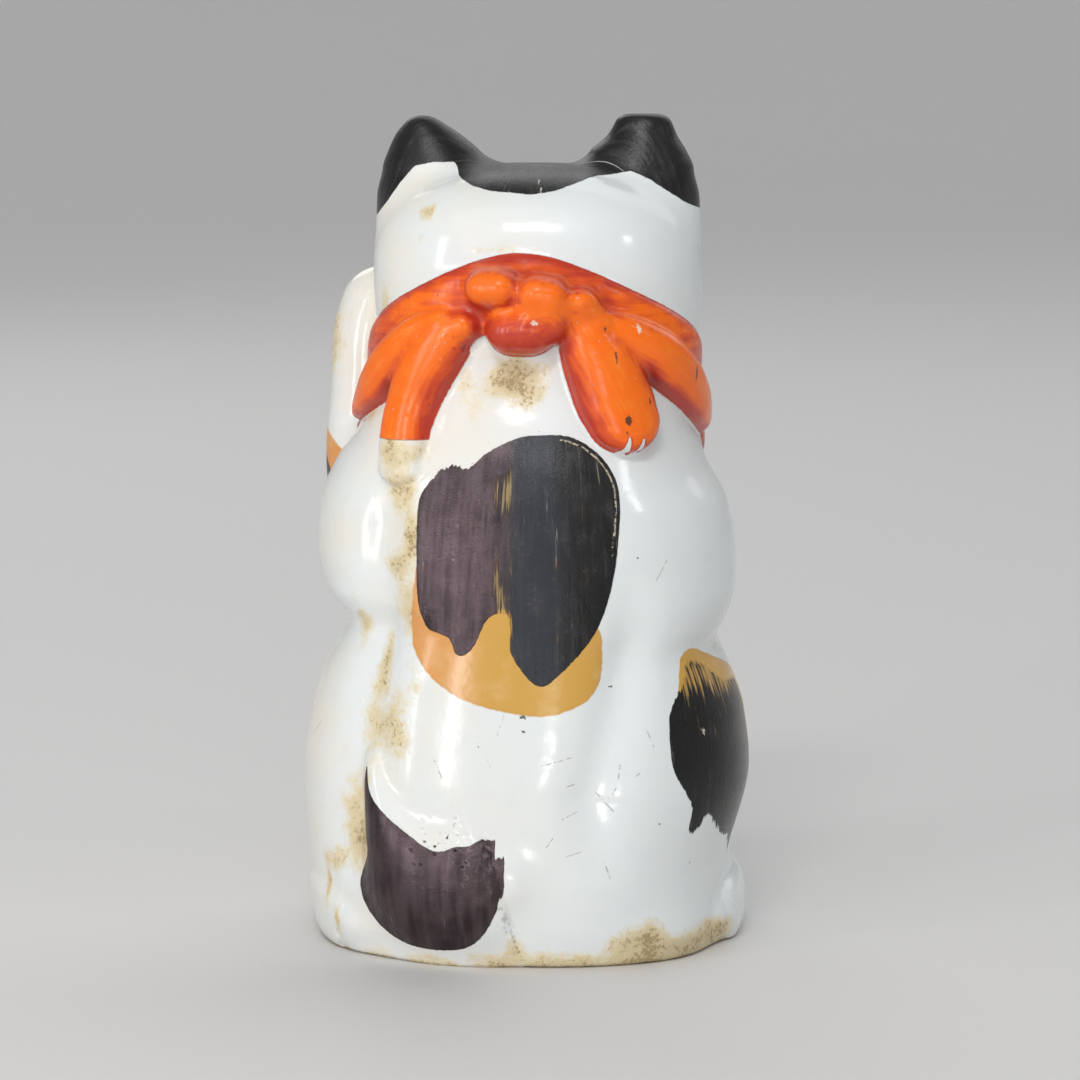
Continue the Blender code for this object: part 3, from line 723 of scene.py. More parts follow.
# Age stains: angle, height, then how wide and tall in millimetres, and how strong each is.
STAINS = (
    (48.5, 72.5, 3.0, 2.2, 0.75), (49, 66.5, 1.6, 2.2, 0.5), (53.5, 67, 0.9, 1.8, 0.5),
    (56.5, 61.0, 1.2, 2.6, 0.85), (51, 57.0, 2.2, 1.6, 0.75), (56, 52.0, 1.9, 3.0, 0.75),
    (59, 47.0, 1.6, 2.6, 0.45), (35, 48.0, 1.2, 2.6, 0.75), (46.2, 43.0, 1.1, 3.6, 0.7),
    (60, 41, 1.0, 2.0, 0.45), (48, 35.0, 3.2, 4.6, 0.55), (55, 32.5, 2.0, 3.4, 0.4),
    (88.4, 83.1, 4.5, 2.5, 1.05), (66, 82, 1.6, 3.4, 0.35), (72, 79, 1.2, 1.2, 0.35),
    (84, 101.6, 6.0, 0.6, 0.5), (175, 43.4, 5.0, 1.6, 0.35), (29, 88, 1.6, 5.0, 0.75),
    (45, 92.5, 1.2, 2.4, 0.6), (24, 79, 1.4, 3.0, 0.5), (41, 22.0, 1.8, 3.2, 0.55),
    (44, 16.6, 2.4, 2.6, 0.8), (46.5, 20, 0.8, 5.0, 0.8), (34, 13.5, 2.0, 1.4, 0.5),
    (47, 106.6, 1.1, 0.9, 0.7), (43.5, 107, 1.0, 1.0, 0.35), (47, 102.5, 1.2, 1.2, 0.3),
    (20, 105, 3.0, 2.0, 0.2), (124, 3.4, 2.4, 2.0, 0.7), (129, 4.2, 1.4, 2.6, 0.7),
    (140, 1.8, 6.0, 1.8, 0.95), (158, 2.6, 3.0, 1.4, 0.8), (104, 1.2, 12.0, 1.0, 0.6),
    (90, 3.0, 1.0, 1.6, 0.6), (32, 9.5, 0.5, 2.4, 0.8), (37, 4.6, 0.5, 2.0, 0.8), (330, 40, 5.0, 6.0, 0.35),
    (250, 62, 4.0, 4.0, 0.45), (212, 30, 3.0, 6.0, 0.35), (285, 76, 5.0, 1.6, 0.45),
    (340, 86, 2.2, 5.0, 0.6), (300, 12, 5.0, 3.0, 0.4), (235, 12, 4.0, 4.0, 0.45), (205, 74, 3.0, 2.0, 0.4),
)
# Places where the enamel is rubbed away in streaks, told in the same way.
WORN = (
    (85.9, 67.6, 1.15, 2.5, 1.0), (87.9, 56.5, 0.35, 2.8, 0.9), (84.4, 53.2, 0.7, 2.6, 0.85),
    (86.4, 49.6, 0.9, 1.4, 0.9), (170, 39.5, 9.0, 1.8, 0.8), (186, 34, 3.0, 5.0, 0.9),
    (150, 41.0, 5.0, 1.8, 0.8), (342, 70, 6.0, 2.0, 0.7), (212, 51, 6.0, 2.2, 0.8),
)
# Where a thin line of the enamel's edge has flaked away, told in the same way.
FLAKED = (
    (110, 75.0, 2.4, 1.4, 1.0), (117, 72.8, 2.4, 2.2, 1.0), (121.5, 69.5, 2.0, 2.2, 1.0),
    (123.6, 65, 1.8, 2.6, 1.0), (122.6, 60.5, 1.6, 2.2, 1.0),
)
# Where the brush left the edge in hairs, told in the same way.
RAGGED = (
    (62, 71, 4.0, 1.6, 0.6), (150, 42, 9.0, 2.6, 1.0), (180, 38, 5.0, 4.0, 1.0), (172, 14, 6.0, 3.5, 1.0),
    (150, 20, 7.0, 3.0, 0.8), (87, 16, 2.0, 3.5, 0.9), (88, 49, 2.5, 2.5, 0.3), (43.5, 74, 6.0, 1.0, 0.2),
    (212, 50, 7.0, 3.0, 0.8), (335, 49, 7.0, 3.0, 0.8),
)
# White chipped spots and black flecks in the paint and glaze, told in the same way. The first three white
# spots, on the lower knot and the right loop, are painted glints.
CHIPS_AND_GLINTS = (
    (95.6, 91.9, 0.55, 0.32, 1.0), (131.4, 90.7, 0.3, 0.8, 1.0), (94.5, 91.0, 0.2, 0.2, 0.8),
    (124, 117, 0.5, 0.5, 1.0), (150, 114.6, 0.6, 0.5, 1.0), (133, 115.8, 0.4, 0.4, 0.9),
    (98.8, 110.3, 0.4, 0.9, 0.9), (146, 33, 0.4, 0.8, 0.7), (94, 61, 0.25, 0.25, 0.7),
    (70, 63, 0.7, 0.35, 0.5), (69.5, 58.2, 0.6, 0.3, 0.5), (162, 30, 0.4, 0.4, 0.5),
)
FLECKS = (
    (125.9, 77.9, 0.42, 0.62, 1.0), (125.5, 76.1, 0.2, 0.24, 1.0), (134.2, 80.2, 0.16, 0.6, 1.0),
    (155.2, 83.7, 0.22, 1.1, 1.0), (92.4, 36.4, 0.42, 0.26, 1.0), (92.5, 34.3, 0.24, 0.24, 1.0),
    (119, 40.3, 0.22, 0.22, 1.0), (123, 86.8, 0.18, 0.9, 0.8), (119.9, 90.7, 0.3, 0.5, 0.7),
    (79.5, 32.1, 0.3, 0.5, 0.6), (73, 71.5, 0.2, 0.3, 0.6), (240, 66, 0.3, 0.3, 1.0),
    (300, 30, 0.3, 0.3, 0.9), (335, 22, 0.3, 0.3, 0.9), (20, 56, 0.25, 0.25, 0.7), (18, 62, 0.2, 0.2, 0.6),
    (205, 40, 0.3, 0.3, 0.8),
)
# Teeth of bare white at the end of the right ribbon: angle, half-width in degrees and height reached.
TEETH = ((126.2, 2.2, 76.2), (131.0, 2.0, 76.2))
TEETH_FOOT = 70.5
# The painted ends of the two ribbons' tails.
LEFT_TAIL_END = 74.6
RIGHT_TAIL_END = 71.0
# The back's black enamel is thin and violet up to this angle, and thick and black past it.
BRUSH_EDGE = 86.3
# Fine scratches on the back, each from one place to another as (angle, height).
SCRATCHES = (
    ((86.8, 36.6), (84.9, 33.6)), ((97.4, 29.4), (106.2, 30.6)), ((102.4, 26.1), (107.4, 26.8)),
    ((113.0, 25.8), (118.1, 22.7)), ((103.5, 21.8), (107.9, 22.8)), ((99.0, 17.8), (101.0, 19.2)),
    ((104.6, 16.5), (108.9, 17.1)), ((119.4, 27.2), (120.2, 29.3)), ((124.0, 27.7), (125.6, 28.3)),
    ((117.7, 25.1), (118.8, 26.1)), ((82, 30.5), (83.4, 29.0)), ((67.0, 30.0), (70.0, 27.0)),
    ((133.0, 55.0), (137.0, 58.0)), ((20.0, 30.0), (26.0, 33.0)), ((200.0, 30.0), (207.0, 27.0)),
    ((300.0, 40.0), (306.0, 36.0)), ((115, 16), (117, 13)), ((128, 34), (129.5, 31.5)),
)
# Lines brushed on the face, each through points (x, height); they lie on the front.
FACE_LINES = (
    ((-1.4, 91.2), (-1.4, 88.6)),
    ((-1.4, 88.6), (-3.2, 86.9), (-5.4, 87.0), (-6.8, 88.6)),
    ((-1.4, 88.6), (0.4, 86.9), (2.6, 87.0), (4.0, 88.6)),
    ((-9.0, 91.6), (-14.6, 93.2), (-20.5, 93.6)),
    ((-9.2, 89.6), (-15.0, 89.6), (-20.8, 88.6)),
    ((-8.8, 87.6), (-14.0, 86.0), (-19.0, 83.6)),
    ((6.2, 91.6), (11.8, 93.2), (16.6, 93.8)),
    ((6.4, 89.6), (11.8, 89.8), (16.0, 89.4)),
    ((-13.4, 101.8), (-9.8, 103.9), (-5.8, 102.7)),
    ((3.0, 102.7), (7.0, 103.9), (10.6, 101.8)),
    ((-13.2, 97.4), (-9.2, 99.9), (-5.0, 96.6)),
    ((2.2, 96.6), (6.4, 99.9), (10.4, 97.4)),
)
# The radius that turns an angle into millimetres where a spot or a brush stroke needs no more.
USUAL_RADIUS = 28
BRUSH_RADIUS = 27.0
# Where the collar's red is thin over the loops: angles, and how wide.
LOBES = (49, 144)
LOBE_WIDTH = 9
# How far out a hollow is felt for, and how far in a crest.
HOLLOW_REACH = 1.6
CREST_REACH = 1.2
# The white border of the bib.
BIB_BORDER = 1.1
# The enamel reaches this far past the edge of the clay it covers.
ENAMEL_OVERLAP = 0.35
# Ellipses painted on the face: x, height, half-width, half-height.
EYES = ((-9.1, 96.6, 3.9, 3.0), (6.3, 96.6, 3.9, 3.0))
PUPILS = ((-8.7, 96.7, 1.5, 2.3), (5.9, 96.7, 1.5, 2.3))
PINKS = ((-1.4, 91.9, 1.8, 1.1), (-1.4, 86.3, 1.3, 0.9))


def inside_outline(outline, angle, height):
    """How far places are inside a closed outline of (angle, height), in millimetres; negative outside."""
    corners = smooth_rows([*outline, outline[0]], 3)
    middle, level = corners.mean(axis=0)
    loop = np.column_stack([unrolled(middle + angle_gap(corners[:, 0], middle), level), corners[:, 1]])
    spots = np.column_stack([unrolled(middle + angle_gap(angle, middle), level), height])
    result = np.full(len(angle), -8.0)
    near = ((spots > loop.min(axis=0) - 8) & (spots < loop.max(axis=0) + 8)).all(axis=1)
    near &= np.abs(angle_gap(angle, middle)) < 90
    spots = spots[near]
    sides = list(zip(loop, loop[1:]))
    distance = np.min([np.hypot(*from_segment(spots, *side)[1].T) for side in sides], axis=0)
    result[near] = np.where(inside_loops(spots, sides), distance, -distance)
    return result


def blotches(rows, angle, height):
    """Soft spots laid over one another: how strong they are together at each place."""
    total = np.zeros(len(angle))
    for middle, level, wide, tall, strength in rows:
        across = np.radians(angle_gap(angle, middle)) * USUAL_RADIUS / wide
        spot = strength * np.exp(-0.5 * (across**2 + ((height - level) / tall) ** 2))
        total = 1 - (1 - total) * (1 - spot)
    return total


def ellipses(rows, points):
    """How far points are inside the nearest painted ellipse of the face."""
    best = np.full(len(points), -8.0)
    for x, level, wide, tall in rows:
        reach = np.hypot((points[:, 0] - x) / wide, (points[:, 2] - level) / tall)
        best = np.maximum(best, (1 - reach) * min(wide, tall))
    return np.where(points[:, 1] < -2, best, -8.0)


def nearest_line(lines, spots, best):
    """Writes in best the step from the nearest line to each flat spot, and the step's length."""
    for line in lines:
        bend = smooth_rows(line, 4) if len(line) > 2 else np.array(line, float)
        for start, end in zip(bend, bend[1:]):
            step = from_segment(spots, start, end)[1]
            length = np.hypot(*step.T)
            nearer = length < best[:, 2]
            best[nearer] = np.column_stack([step, length])[nearer]


def line_offsets(points):
    """From the nearest brushed line or scratch to each point: the step's two parts and its length."""
    angle, _, height = round_axis(points)
    best = np.full((len(points), 3), 9.0)
    face = np.flatnonzero((points[:, 1] < -6) & (height > 78))
    rows = best[face]
    nearest_line(FACE_LINES, points[face][:, [0, 2]], rows)
    best[face] = rows
    body = np.flatnonzero((height < 78) & (height > 6))
    rows = best[body]
    scratches = [[(unrolled(a, 30.0), z) for a, z in line] for line in SCRATCHES]
    nearest_line(scratches, np.column_stack([unrolled(angle[body], 30.0), height[body]]), rows)
    best[body] = rows
    return best


RED_ROLLS = [name for name in ROLLS if name.startswith("bow")]


def enamel_foot(name, angle, height):
    """The height under which a ribbon's tail is left white, with teeth at the end of the right one."""
    if name == "bow_left_tail":
        return np.full(len(angle), LEFT_TAIL_END)
    foot = np.full(len(angle), RIGHT_TAIL_END)
    for middle, half, reach in TEETH:
        tooth = np.clip(1 - np.abs(angle - middle) / half, 0, 1)
        foot = np.maximum(foot, TEETH_FOOT + tooth * (reach - TEETH_FOOT))
    return foot


def red_layers(angle, height, skin):
    """How far places are inside the red, the way the brush ran there, and how near to a roll's crest."""
    red = COLLAR_HALF_WIDTH + ENAMEL_OVERLAP - np.abs(height - collar_middle(angle))
    lobes = sum(np.exp(-0.5 * ((angle - middle) / LOBE_WIDTH) ** 2) for middle in LOBES)
    crown = np.clip(red / 1.8, 0, 1) * (0.34 + 0.5 * lobes)
    arc = unrolled(np.where(angle > 270, angle - 360, angle), 60.0)
    flow = np.where(red[:, None] > -0.6, np.column_stack([arc, height]), np.column_stack([height, arc]))
    for name, spine in [*((name, SPINES[name]) for name in RED_ROLLS), ("fold", FOLD_SPINE)]:
        flat = spine.flat(angle, height)
        near = np.flatnonzero(spine.close(flat))
        distance, width, _, share = spine.measure(flat[near])
        inside = width + ENAMEL_OVERLAP - distance
        if name.endswith("tail"):
            inside = np.minimum(inside, height[near] - enamel_foot(name, angle[near], height[near]))
        top = np.clip(1 - (distance / width) ** 2, 0, 1)
        # For the lower knot the tone goes by height instead: orange at its top, darker crimson towards its
        # bottom.
        if name == "bow_knot_lower":
            top = ease(height[near], 89.6, 94.0) * 0.8
        laid = (inside > 0) & (top > crown[near] * 0.8) & (skin[near] > 0.6)
        flow[near[laid]] = np.column_stack([share * 24.0, distance * 1.6])[laid]
        crown[near[laid]] = top[laid]
        red[near] = np.maximum(red[near], inside)
    return red, flow, crown


def enamel_tone(angle, height):
    """The black enamel's tone: thin and violet over 0, blue-black under it, and black far under it."""
    tone = np.clip(np.radians(BRUSH_EDGE - angle) * BRUSH_RADIUS, -12, 8)
    tone = np.where(height < 32, 8.0, tone)
    tone = np.where((angle > 130) & (angle < 300), -12.0, tone)
    tone = np.where((angle >= 300) | (angle < 30), 3.0, tone)
    return np.where(height > 95, -10.0, tone)


def age_and_shade_layers(points, normals, angle, height):
    """How stained places are, how deep in a hollow and how far out on a crest; the hollow depth also sets the
    painted shade in the red's creases.
    """
    _, gradient = slope(points)
    pull = np.linalg.norm(gradient, axis=1)
    hollow = 1 - outside(points + HOLLOW_REACH * normals) / (HOLLOW_REACH * pull)
    crest = 1 + outside(points - CREST_REACH * normals) / (CREST_REACH * pull)
    stain = blotches(STAINS, angle, height)
    stain = 1 - (1 - stain) * (1 - 0.55 * np.exp(-height / 1.3))
    return np.column_stack([stain, np.clip(hollow, 0, 1), np.clip(crest, 0, 1)])


def paint_layers(points, normals):
    """Attributes of the points for the glaze material, each with three numbers a point."""
    angle, _, height = round_axis(points)
    skin = skin_gap(points)
    black = np.max([inside_outline(o, angle, height) for o in BLACK_OUTLINES.values()], axis=0)
    ochre = np.max([inside_outline(o, angle, height) for o in OCHRE_OUTLINES.values()], axis=0)
    behind = ease(points[:, 1], -4.0, 1.0)
    edge = behind * np.interp(points[:, 0], *np.array(CROWN_BEHIND, float).T)
    edge += (1 - behind) * np.interp(points[:, 0], *np.array(CROWN_BEFORE, float).T)
    black = np.maximum(black, points[:, 2] - edge)

    red, flow, crown = red_layers(angle, height, skin)
    on_arm = (arm_gap(points) < skin) & (points[:, 2] < 97)
    red = np.where(on_arm | (height < 64), -8.0, red)
    on_face = (points[:, 1] < -6) & (height > 78) & (red < -0.6)
    crown = np.where(on_face, -1.0, crown)

    distance, width, _, _ = SPINES["bib"].measure(SPINES["bib"].flat(angle, height))
    bib = np.clip(width - distance - BIB_BORDER, -8, 8)
    pink = np.maximum(ellipses(PINKS, points), np.clip(EAR_PINK - ear_hollows(points), -8, 8))
    left_side = ease(angle_gap(angle, 60), 60, -20)
    # The layer of white spots also holds painted glints on the red.
    worn, flaked, ragged, chips_and_glints, flecks = (
        blotches(rows, angle, height) for rows in (WORN, FLAKED, RAGGED, CHIPS_AND_GLINTS, FLECKS)
    )
    return {
        "paint": np.clip(np.column_stack([black, ochre, red]), -8, 8),
        "age": age_and_shade_layers(points, normals, angle, height),
        "flow": np.column_stack([flow, crown]),
        "wear": np.column_stack([worn, ellipses(EYES, points), ellipses(PUPILS, points)]),
        "trim": np.column_stack([bib, pink, left_side]),
        "rub": np.column_stack([flaked, enamel_tone(angle, height), ragged]),
        "line": line_offsets(points),
        "mark": np.column_stack([chips_and_glints, flecks, np.zeros(len(angle))]),
    }


# ---- Materials ------------------------------------------------------------------------------------
class Nodes:
    """Short words for building one material's nodes. A value is a socket, a number or a colour."""

    def __init__(self, name):
        self.material = bpy.data.materials.new(name)
        self.material.use_nodes = True
        self.tree = self.material.node_tree
        self.shader = self.tree.nodes["Principled BSDF"]
        self.place = self.scaled(self.add("ShaderNodeTexCoord").outputs["Object"], 1000.0)

    def add(self, kind, **settings):
        node = self.tree.nodes.new(kind)
        for name, value in settings.items():
            setattr(node, name, value)
        return node

    def put(self, socket, value):
        if isinstance(value, bpy.types.NodeSocket):
            self.tree.links.new(value, socket)
        else:
            socket.default_value = value

    def math(self, operation, a, b=0.0, clamp=False):
        node = self.add("ShaderNodeMath", operation=operation, use_clamp=clamp)
        self.put(node.inputs[0], a)
        self.put(node.inputs[1], b)
        return node.outputs[0]

    def times(self, a, b):
        return self.math("MULTIPLY", a, b)

    def larger(self, a, b):
        return self.math("MAXIMUM", a, b)

    def scaled(self, vector, factor):
        node = self.add("ShaderNodeVectorMath", operation="MULTIPLY")
        self.put(node.inputs[0], vector)
        node.inputs[1].default_value = factor if isinstance(factor, tuple) else (factor,) * 3
        return node.outputs[0]

    def length(self, vector):
        node = self.add("ShaderNodeVectorMath", operation="LENGTH")
        self.put(node.inputs[0], vector)
        return node.outputs["Value"]

    def three(self, name):
        """The three numbers that a piece's mesh keeps under one name, and all of them as a vector."""
        attribute = self.add("ShaderNodeAttribute", attribute_name=name)
        split = self.add("ShaderNodeSeparateXYZ")
        self.put(split.inputs[0], attribute.outputs["Vector"])
        return *split.outputs, attribute.outputs["Vector"]

    def noise(self, size, detail=3.0, stretch=(1, 1, 1), place=None, roughness=0.55):
        """Noise from 0 to 1 with lumps of that size in millimetres."""
        node = self.add("ShaderNodeTexNoise")
        self.put(node.inputs["Vector"], self.scaled(self.place if place is None else place, stretch))
        node.inputs["Scale"].default_value = 1.0 / size
        node.inputs["Detail"].default_value = detail
        node.inputs["Roughness"].default_value = roughness
        return node.outputs["Fac"]

    def step(self, value, low, high):
        """0 below low, 1 above high, and smooth between."""
        node = self.add("ShaderNodeMapRange", interpolation_type="SMOOTHSTEP")
        self.put(node.inputs["Value"], value)
        self.put(node.inputs["From Min"], low)
        self.put(node.inputs["From Max"], high)
        return node.outputs[0]

    def blend(self, share, a, b):
        """Colour a where share is 0 and b where it is 1."""
        node = self.add("ShaderNodeMix", data_type="RGBA")
        self.put(node.inputs["Factor"], share)
        self.put(node.inputs["A"], (*a, 1) if isinstance(a, tuple) else a)
        self.put(node.inputs["B"], (*b, 1) if isinstance(b, tuple) else b)
        return node.outputs["Result"]

    def between(self, share, a, b):
        """Number a where share is 0 and b where it is 1."""
        node = self.add("ShaderNodeMix", data_type="FLOAT")
        self.put(node.inputs["Factor"], share)
        self.put(node.inputs["A"], a)
        self.put(node.inputs["B"], b)
        return node.outputs["Result"]

    def sum(self, *terms):
        """The total of (value, weight) terms."""
        result = None
        for value, weight in terms:
            if not any(isinstance(part, bpy.types.NodeSocket) for part in (value, weight)):
                term = value * weight
            else:
                term = value if weight == 1.0 else self.math("MULTIPLY", value, weight)
            result = term if result is None else self.math("ADD", result, term)
        return result

    def centred(self, value):
        return self.math("SUBTRACT", value, 0.5)

    def wave(self, value, rate):
        return self.math("SINE", self.math("MULTIPLY", value, rate))

    def relief(self, height, strength=1.0):
        """Bump from a height in millimetres."""
        node = self.add("ShaderNodeBump")
        node.inputs["Strength"].default_value = strength
        node.inputs["Distance"].default_value = MM
        self.put(node.inputs["Height"], height)
        self.put(self.shader.inputs["Normal"], node.outputs[0])


def read_layers(n):
    """Gathers what the mesh keeps for the paint, and the noises that break it up."""
    n.black_in, n.ochre_in, n.red_in, _ = n.three("paint")
    n.stain, n.hollow, n.crest, _ = n.three("age")
    n.along, n.across, n.crown, flow = n.three("flow")
    n.worn, n.eye_in, n.pupil_in, _ = n.three("wear")
    n.bib_in, n.pink_in, n.left_side, _ = n.three("trim")
    n.flaked, n.tone, ragged, _ = n.three("rub")
    n.line_x, n.line_z, n.line_reach, _ = n.three("line")
    n.chip_in, n.fleck_in, _, _ = n.three("mark")

    n.fine = n.noise(0.7, 4)
    n.soft = n.noise(3.5, 3)
    n.broad = n.noise(16.0, 2)
    n.grains = n.noise(0.3, 3, roughness=0.7)
    n.streaks = n.noise(1.0, 4, stretch=(0.09, 1.0, 0.3), place=flow)
    n.hairs = n.noise(0.45, 3, stretch=(0.05, 1.0, 0.2), place=flow, roughness=0.6)
    n.uneven = n.sum((n.centred(n.soft), 0.7), (n.centred(n.fine), 0.45))
    n.brushed = n.sum((n.uneven, 0.6), (n.centred(n.hairs), n.sum((ragged, 6.0), (0.3, 1.0))))


def lay_glaze(n):
    """White glaze: cool on the right, creamier on the left, with clouds and pinholes."""
    creamy = n.times(n.left_side, n.step(n.sum((n.broad, 1.0), (n.soft, 0.3)), 0.4, 0.9))
    colour = n.blend(creamy, (0.78, 0.82, 0.82), (0.84, 0.79, 0.68))
    clouds = n.times(n.step(n.soft, 0.45, 0.75), 0.22)
    colour = n.blend(clouds, colour, (0.70, 0.76, 0.78))
    dots = n.add("ShaderNodeTexVoronoi")
    n.put(dots.inputs["Vector"], n.place)
    dots.inputs["Scale"].default_value = 1 / 3.6
    which = n.add("ShaderNodeSeparateXYZ")
    n.put(which.inputs[0], dots.outputs["Color"])
    dot_size = n.times(n.math("POWER", which.outputs[0], 7.0), 0.075)
    dot_reach = n.sum((dots.outputs["Distance"], 1.0), (n.centred(n.grains), 0.06))
    n.speck = n.math("LESS_THAN", dot_reach, dot_size)
    return colour


def lay_stains(n, colour):
    """Age stain: a pale yellow wash, with brown grains where dirt has gathered."""
    gathered = n.sum((n.stain, 1.15), (n.hollow, 0.3))
    dirt = n.sum((gathered, 1.0), (n.centred(n.soft), 1.3), (n.centred(n.fine), 0.6))
    n.yellow = n.times(n.step(dirt, 0.2, 0.8), n.step(gathered, 0.1, 0.4))
    tint = n.blend(n.step(gathered, 0.5, 1.1), (0.74, 0.60, 0.31), (0.62, 0.48, 0.22))
    colour = n.blend(n.times(n.yellow, 0.8), colour, tint)
    specks = n.noise(0.55, 4, roughness=0.75)
    grime = n.sum((dirt, 0.8), (n.centred(specks), 3.0), (n.centred(n.soft), 0.8))
    n.brown = n.times(n.times(n.step(grime, 0.75, 1.2), n.yellow), n.step(n.stain, 0.15, 0.4))
    return n.blend(n.times(n.brown, 0.72), colour, (0.33, 0.21, 0.06))


def lay_ochre(n, colour):
    """Ochre wash, deeper where it pooled along its edge."""
    ochre_edge = n.sum((n.ochre_in, 1.0), (n.uneven, 0.7))
    n.ochre = n.step(ochre_edge, 0.0, 0.3)
    warm = n.step(n.sum((n.left_side, 1.0), (n.soft, 0.5), (n.streaks, 0.3)), 0.75, 1.35)
    n.wash = n.blend(warm, (0.63, 0.36, 0.075), (0.72, 0.32, 0.10))
    n.wash = n.blend(n.times(n.step(n.soft, 0.5, 0.75), 0.4), n.wash, (0.74, 0.52, 0.22))
    n.wash = n.blend(n.times(n.step(ochre_edge, 0.9, 0.2), 0.35), n.wash, (0.62, 0.30, 0.06))
    return n.blend(n.ochre, colour, n.wash)


def lay_red(n, colour):
    """Red enamel: orange where it is thin on the crests; crimson in the hollows, where it pooled deeper and
    where painted shade darkens the creases.
    """
    red_edge = n.sum((n.red_in, 1.0), (n.brushed, 0.5))
    n.red = n.step(red_edge, 0.0, 0.14)
    # The hollow term here is painted shade: it turns the red crimson in the creases, so thin also carries
    # painted shade.
    thin = n.sum((n.crown, 1.0), (n.centred(n.streaks), 1.1), (n.centred(n.soft), 0.8), (n.hollow, -0.7))
    ribbon = n.blend(n.step(thin, 0.0, 0.4), (0.52, 0.040, 0.016), (0.72, 0.085, 0.012))
    ribbon = n.blend(n.step(thin, 0.3, 0.75), ribbon, (0.95, 0.160, 0.004))
    pale = n.times(n.step(n.sum((n.hairs, 0.6), (n.soft, 0.6), (n.crown, 0.25)), 0.8, 1.05), 0.5)
    ribbon = n.blend(pale, ribbon, (0.95, 0.28, 0.03))
    # Painted shade: the red darkens further towards deep crimson in the hollows.
    deep = n.step(n.sum((n.hollow, 1.0), (n.centred(n.fine), 0.5)), 0.3, 0.8)
    ribbon = n.blend(n.times(deep, 0.4), ribbon, (0.36, 0.030, 0.016))
    spots = n.times(n.step(n.grains, 0.68, 0.75), n.step(n.soft, 0.5, 0.62))
    ribbon = n.blend(n.times(spots, 0.75), ribbon, (0.07, 0.02, 0.012))
    chip = n.times(n.step(n.fine, 0.715, 0.73), n.step(n.crown, 0.2, 0.5))
    n.red = n.times(n.red, n.sum((1.0, 1.0), (chip, -0.8)))
    return n.blend(n.red, colour, ribbon)


def lay_black(n, colour):
    """Black enamel: blue-black where thick, violet where thin, rubbed through in streaks."""
    black_edge = n.sum((n.black_in, 1.0), (n.brushed, 0.6))
    n.black = n.step(black_edge, 0.0, 0.12)
    rubbed = n.step(n.sum((n.worn, 1.0), (n.centred(n.streaks), 1.4), (n.centred(n.hairs), 2.8)), 0.5, 0.85)
    flake_place = n.times(n.step(black_edge, 0.55, 0.65), n.step(black_edge, 0.95, 0.85))
    torn = n.sum((n.flaked, 1.0), (n.centred(n.fine), 2.2), (n.centred(n.grains), 1.6))
    flake = n.times(flake_place, n.step(torn, 0.72, 0.86))
    missing = n.larger(n.times(rubbed, 0.85), n.times(flake, 0.9))
    n.black = n.times(n.black, n.sum((1.0, 1.0), (missing, -1.0)))
    loose = n.sum((n.centred(n.streaks), 4.0))
    edge_noise = n.sum((n.tone, 1.0), (n.centred(n.hairs), 2.0), (n.centred(n.fine), 0.8), (loose, 1.0))
    n.violet = n.step(edge_noise, -2.4, 1.6)
    middle = n.step(edge_noise, -11.0, -6.0)
    cloudy = n.sum((n.streaks, 0.7), (n.soft, 0.5), (n.broad, 0.3))
    ink = n.blend(middle, (0.012, 0.0115, 0.011), (0.022, 0.026, 0.034))
    thin_ink = n.blend(n.step(cloudy, 0.55, 0.95), (0.040, 0.030, 0.034), (0.108, 0.076, 0.083))
    ink = n.blend(n.violet, ink, thin_ink)
    ink = n.blend(n.times(n.step(cloudy, 0.72, 1.0), 0.4), ink, (0.075, 0.072, 0.078))
    bare = n.times(n.step(n.sum((n.crest, 1.0), (n.centred(n.fine), 1.2)), 0.75, 1.05), 0.35)
    ink = n.blend(bare, ink, (0.16, 0.13, 0.10))
    under_ink = n.blend(n.step(n.flaked, 0.05, 0.3), (0.34, 0.25, 0.11), (0.58, 0.50, 0.34))
    under_ink = n.blend(n.step(n.sum((n.worn, 1.0), (n.flaked, 1.0)), 0.05, 0.3), colour, under_ink)
    under_ink = n.blend(n.step(n.sum((n.tone, -1.0), (n.flaked, -9.0)), 11.0, 11.8), under_ink, n.wash)
    colour = n.blend(n.step(n.black_in, 0.3, 0.8), colour, under_ink)
    return n.blend(n.black, colour, ink)


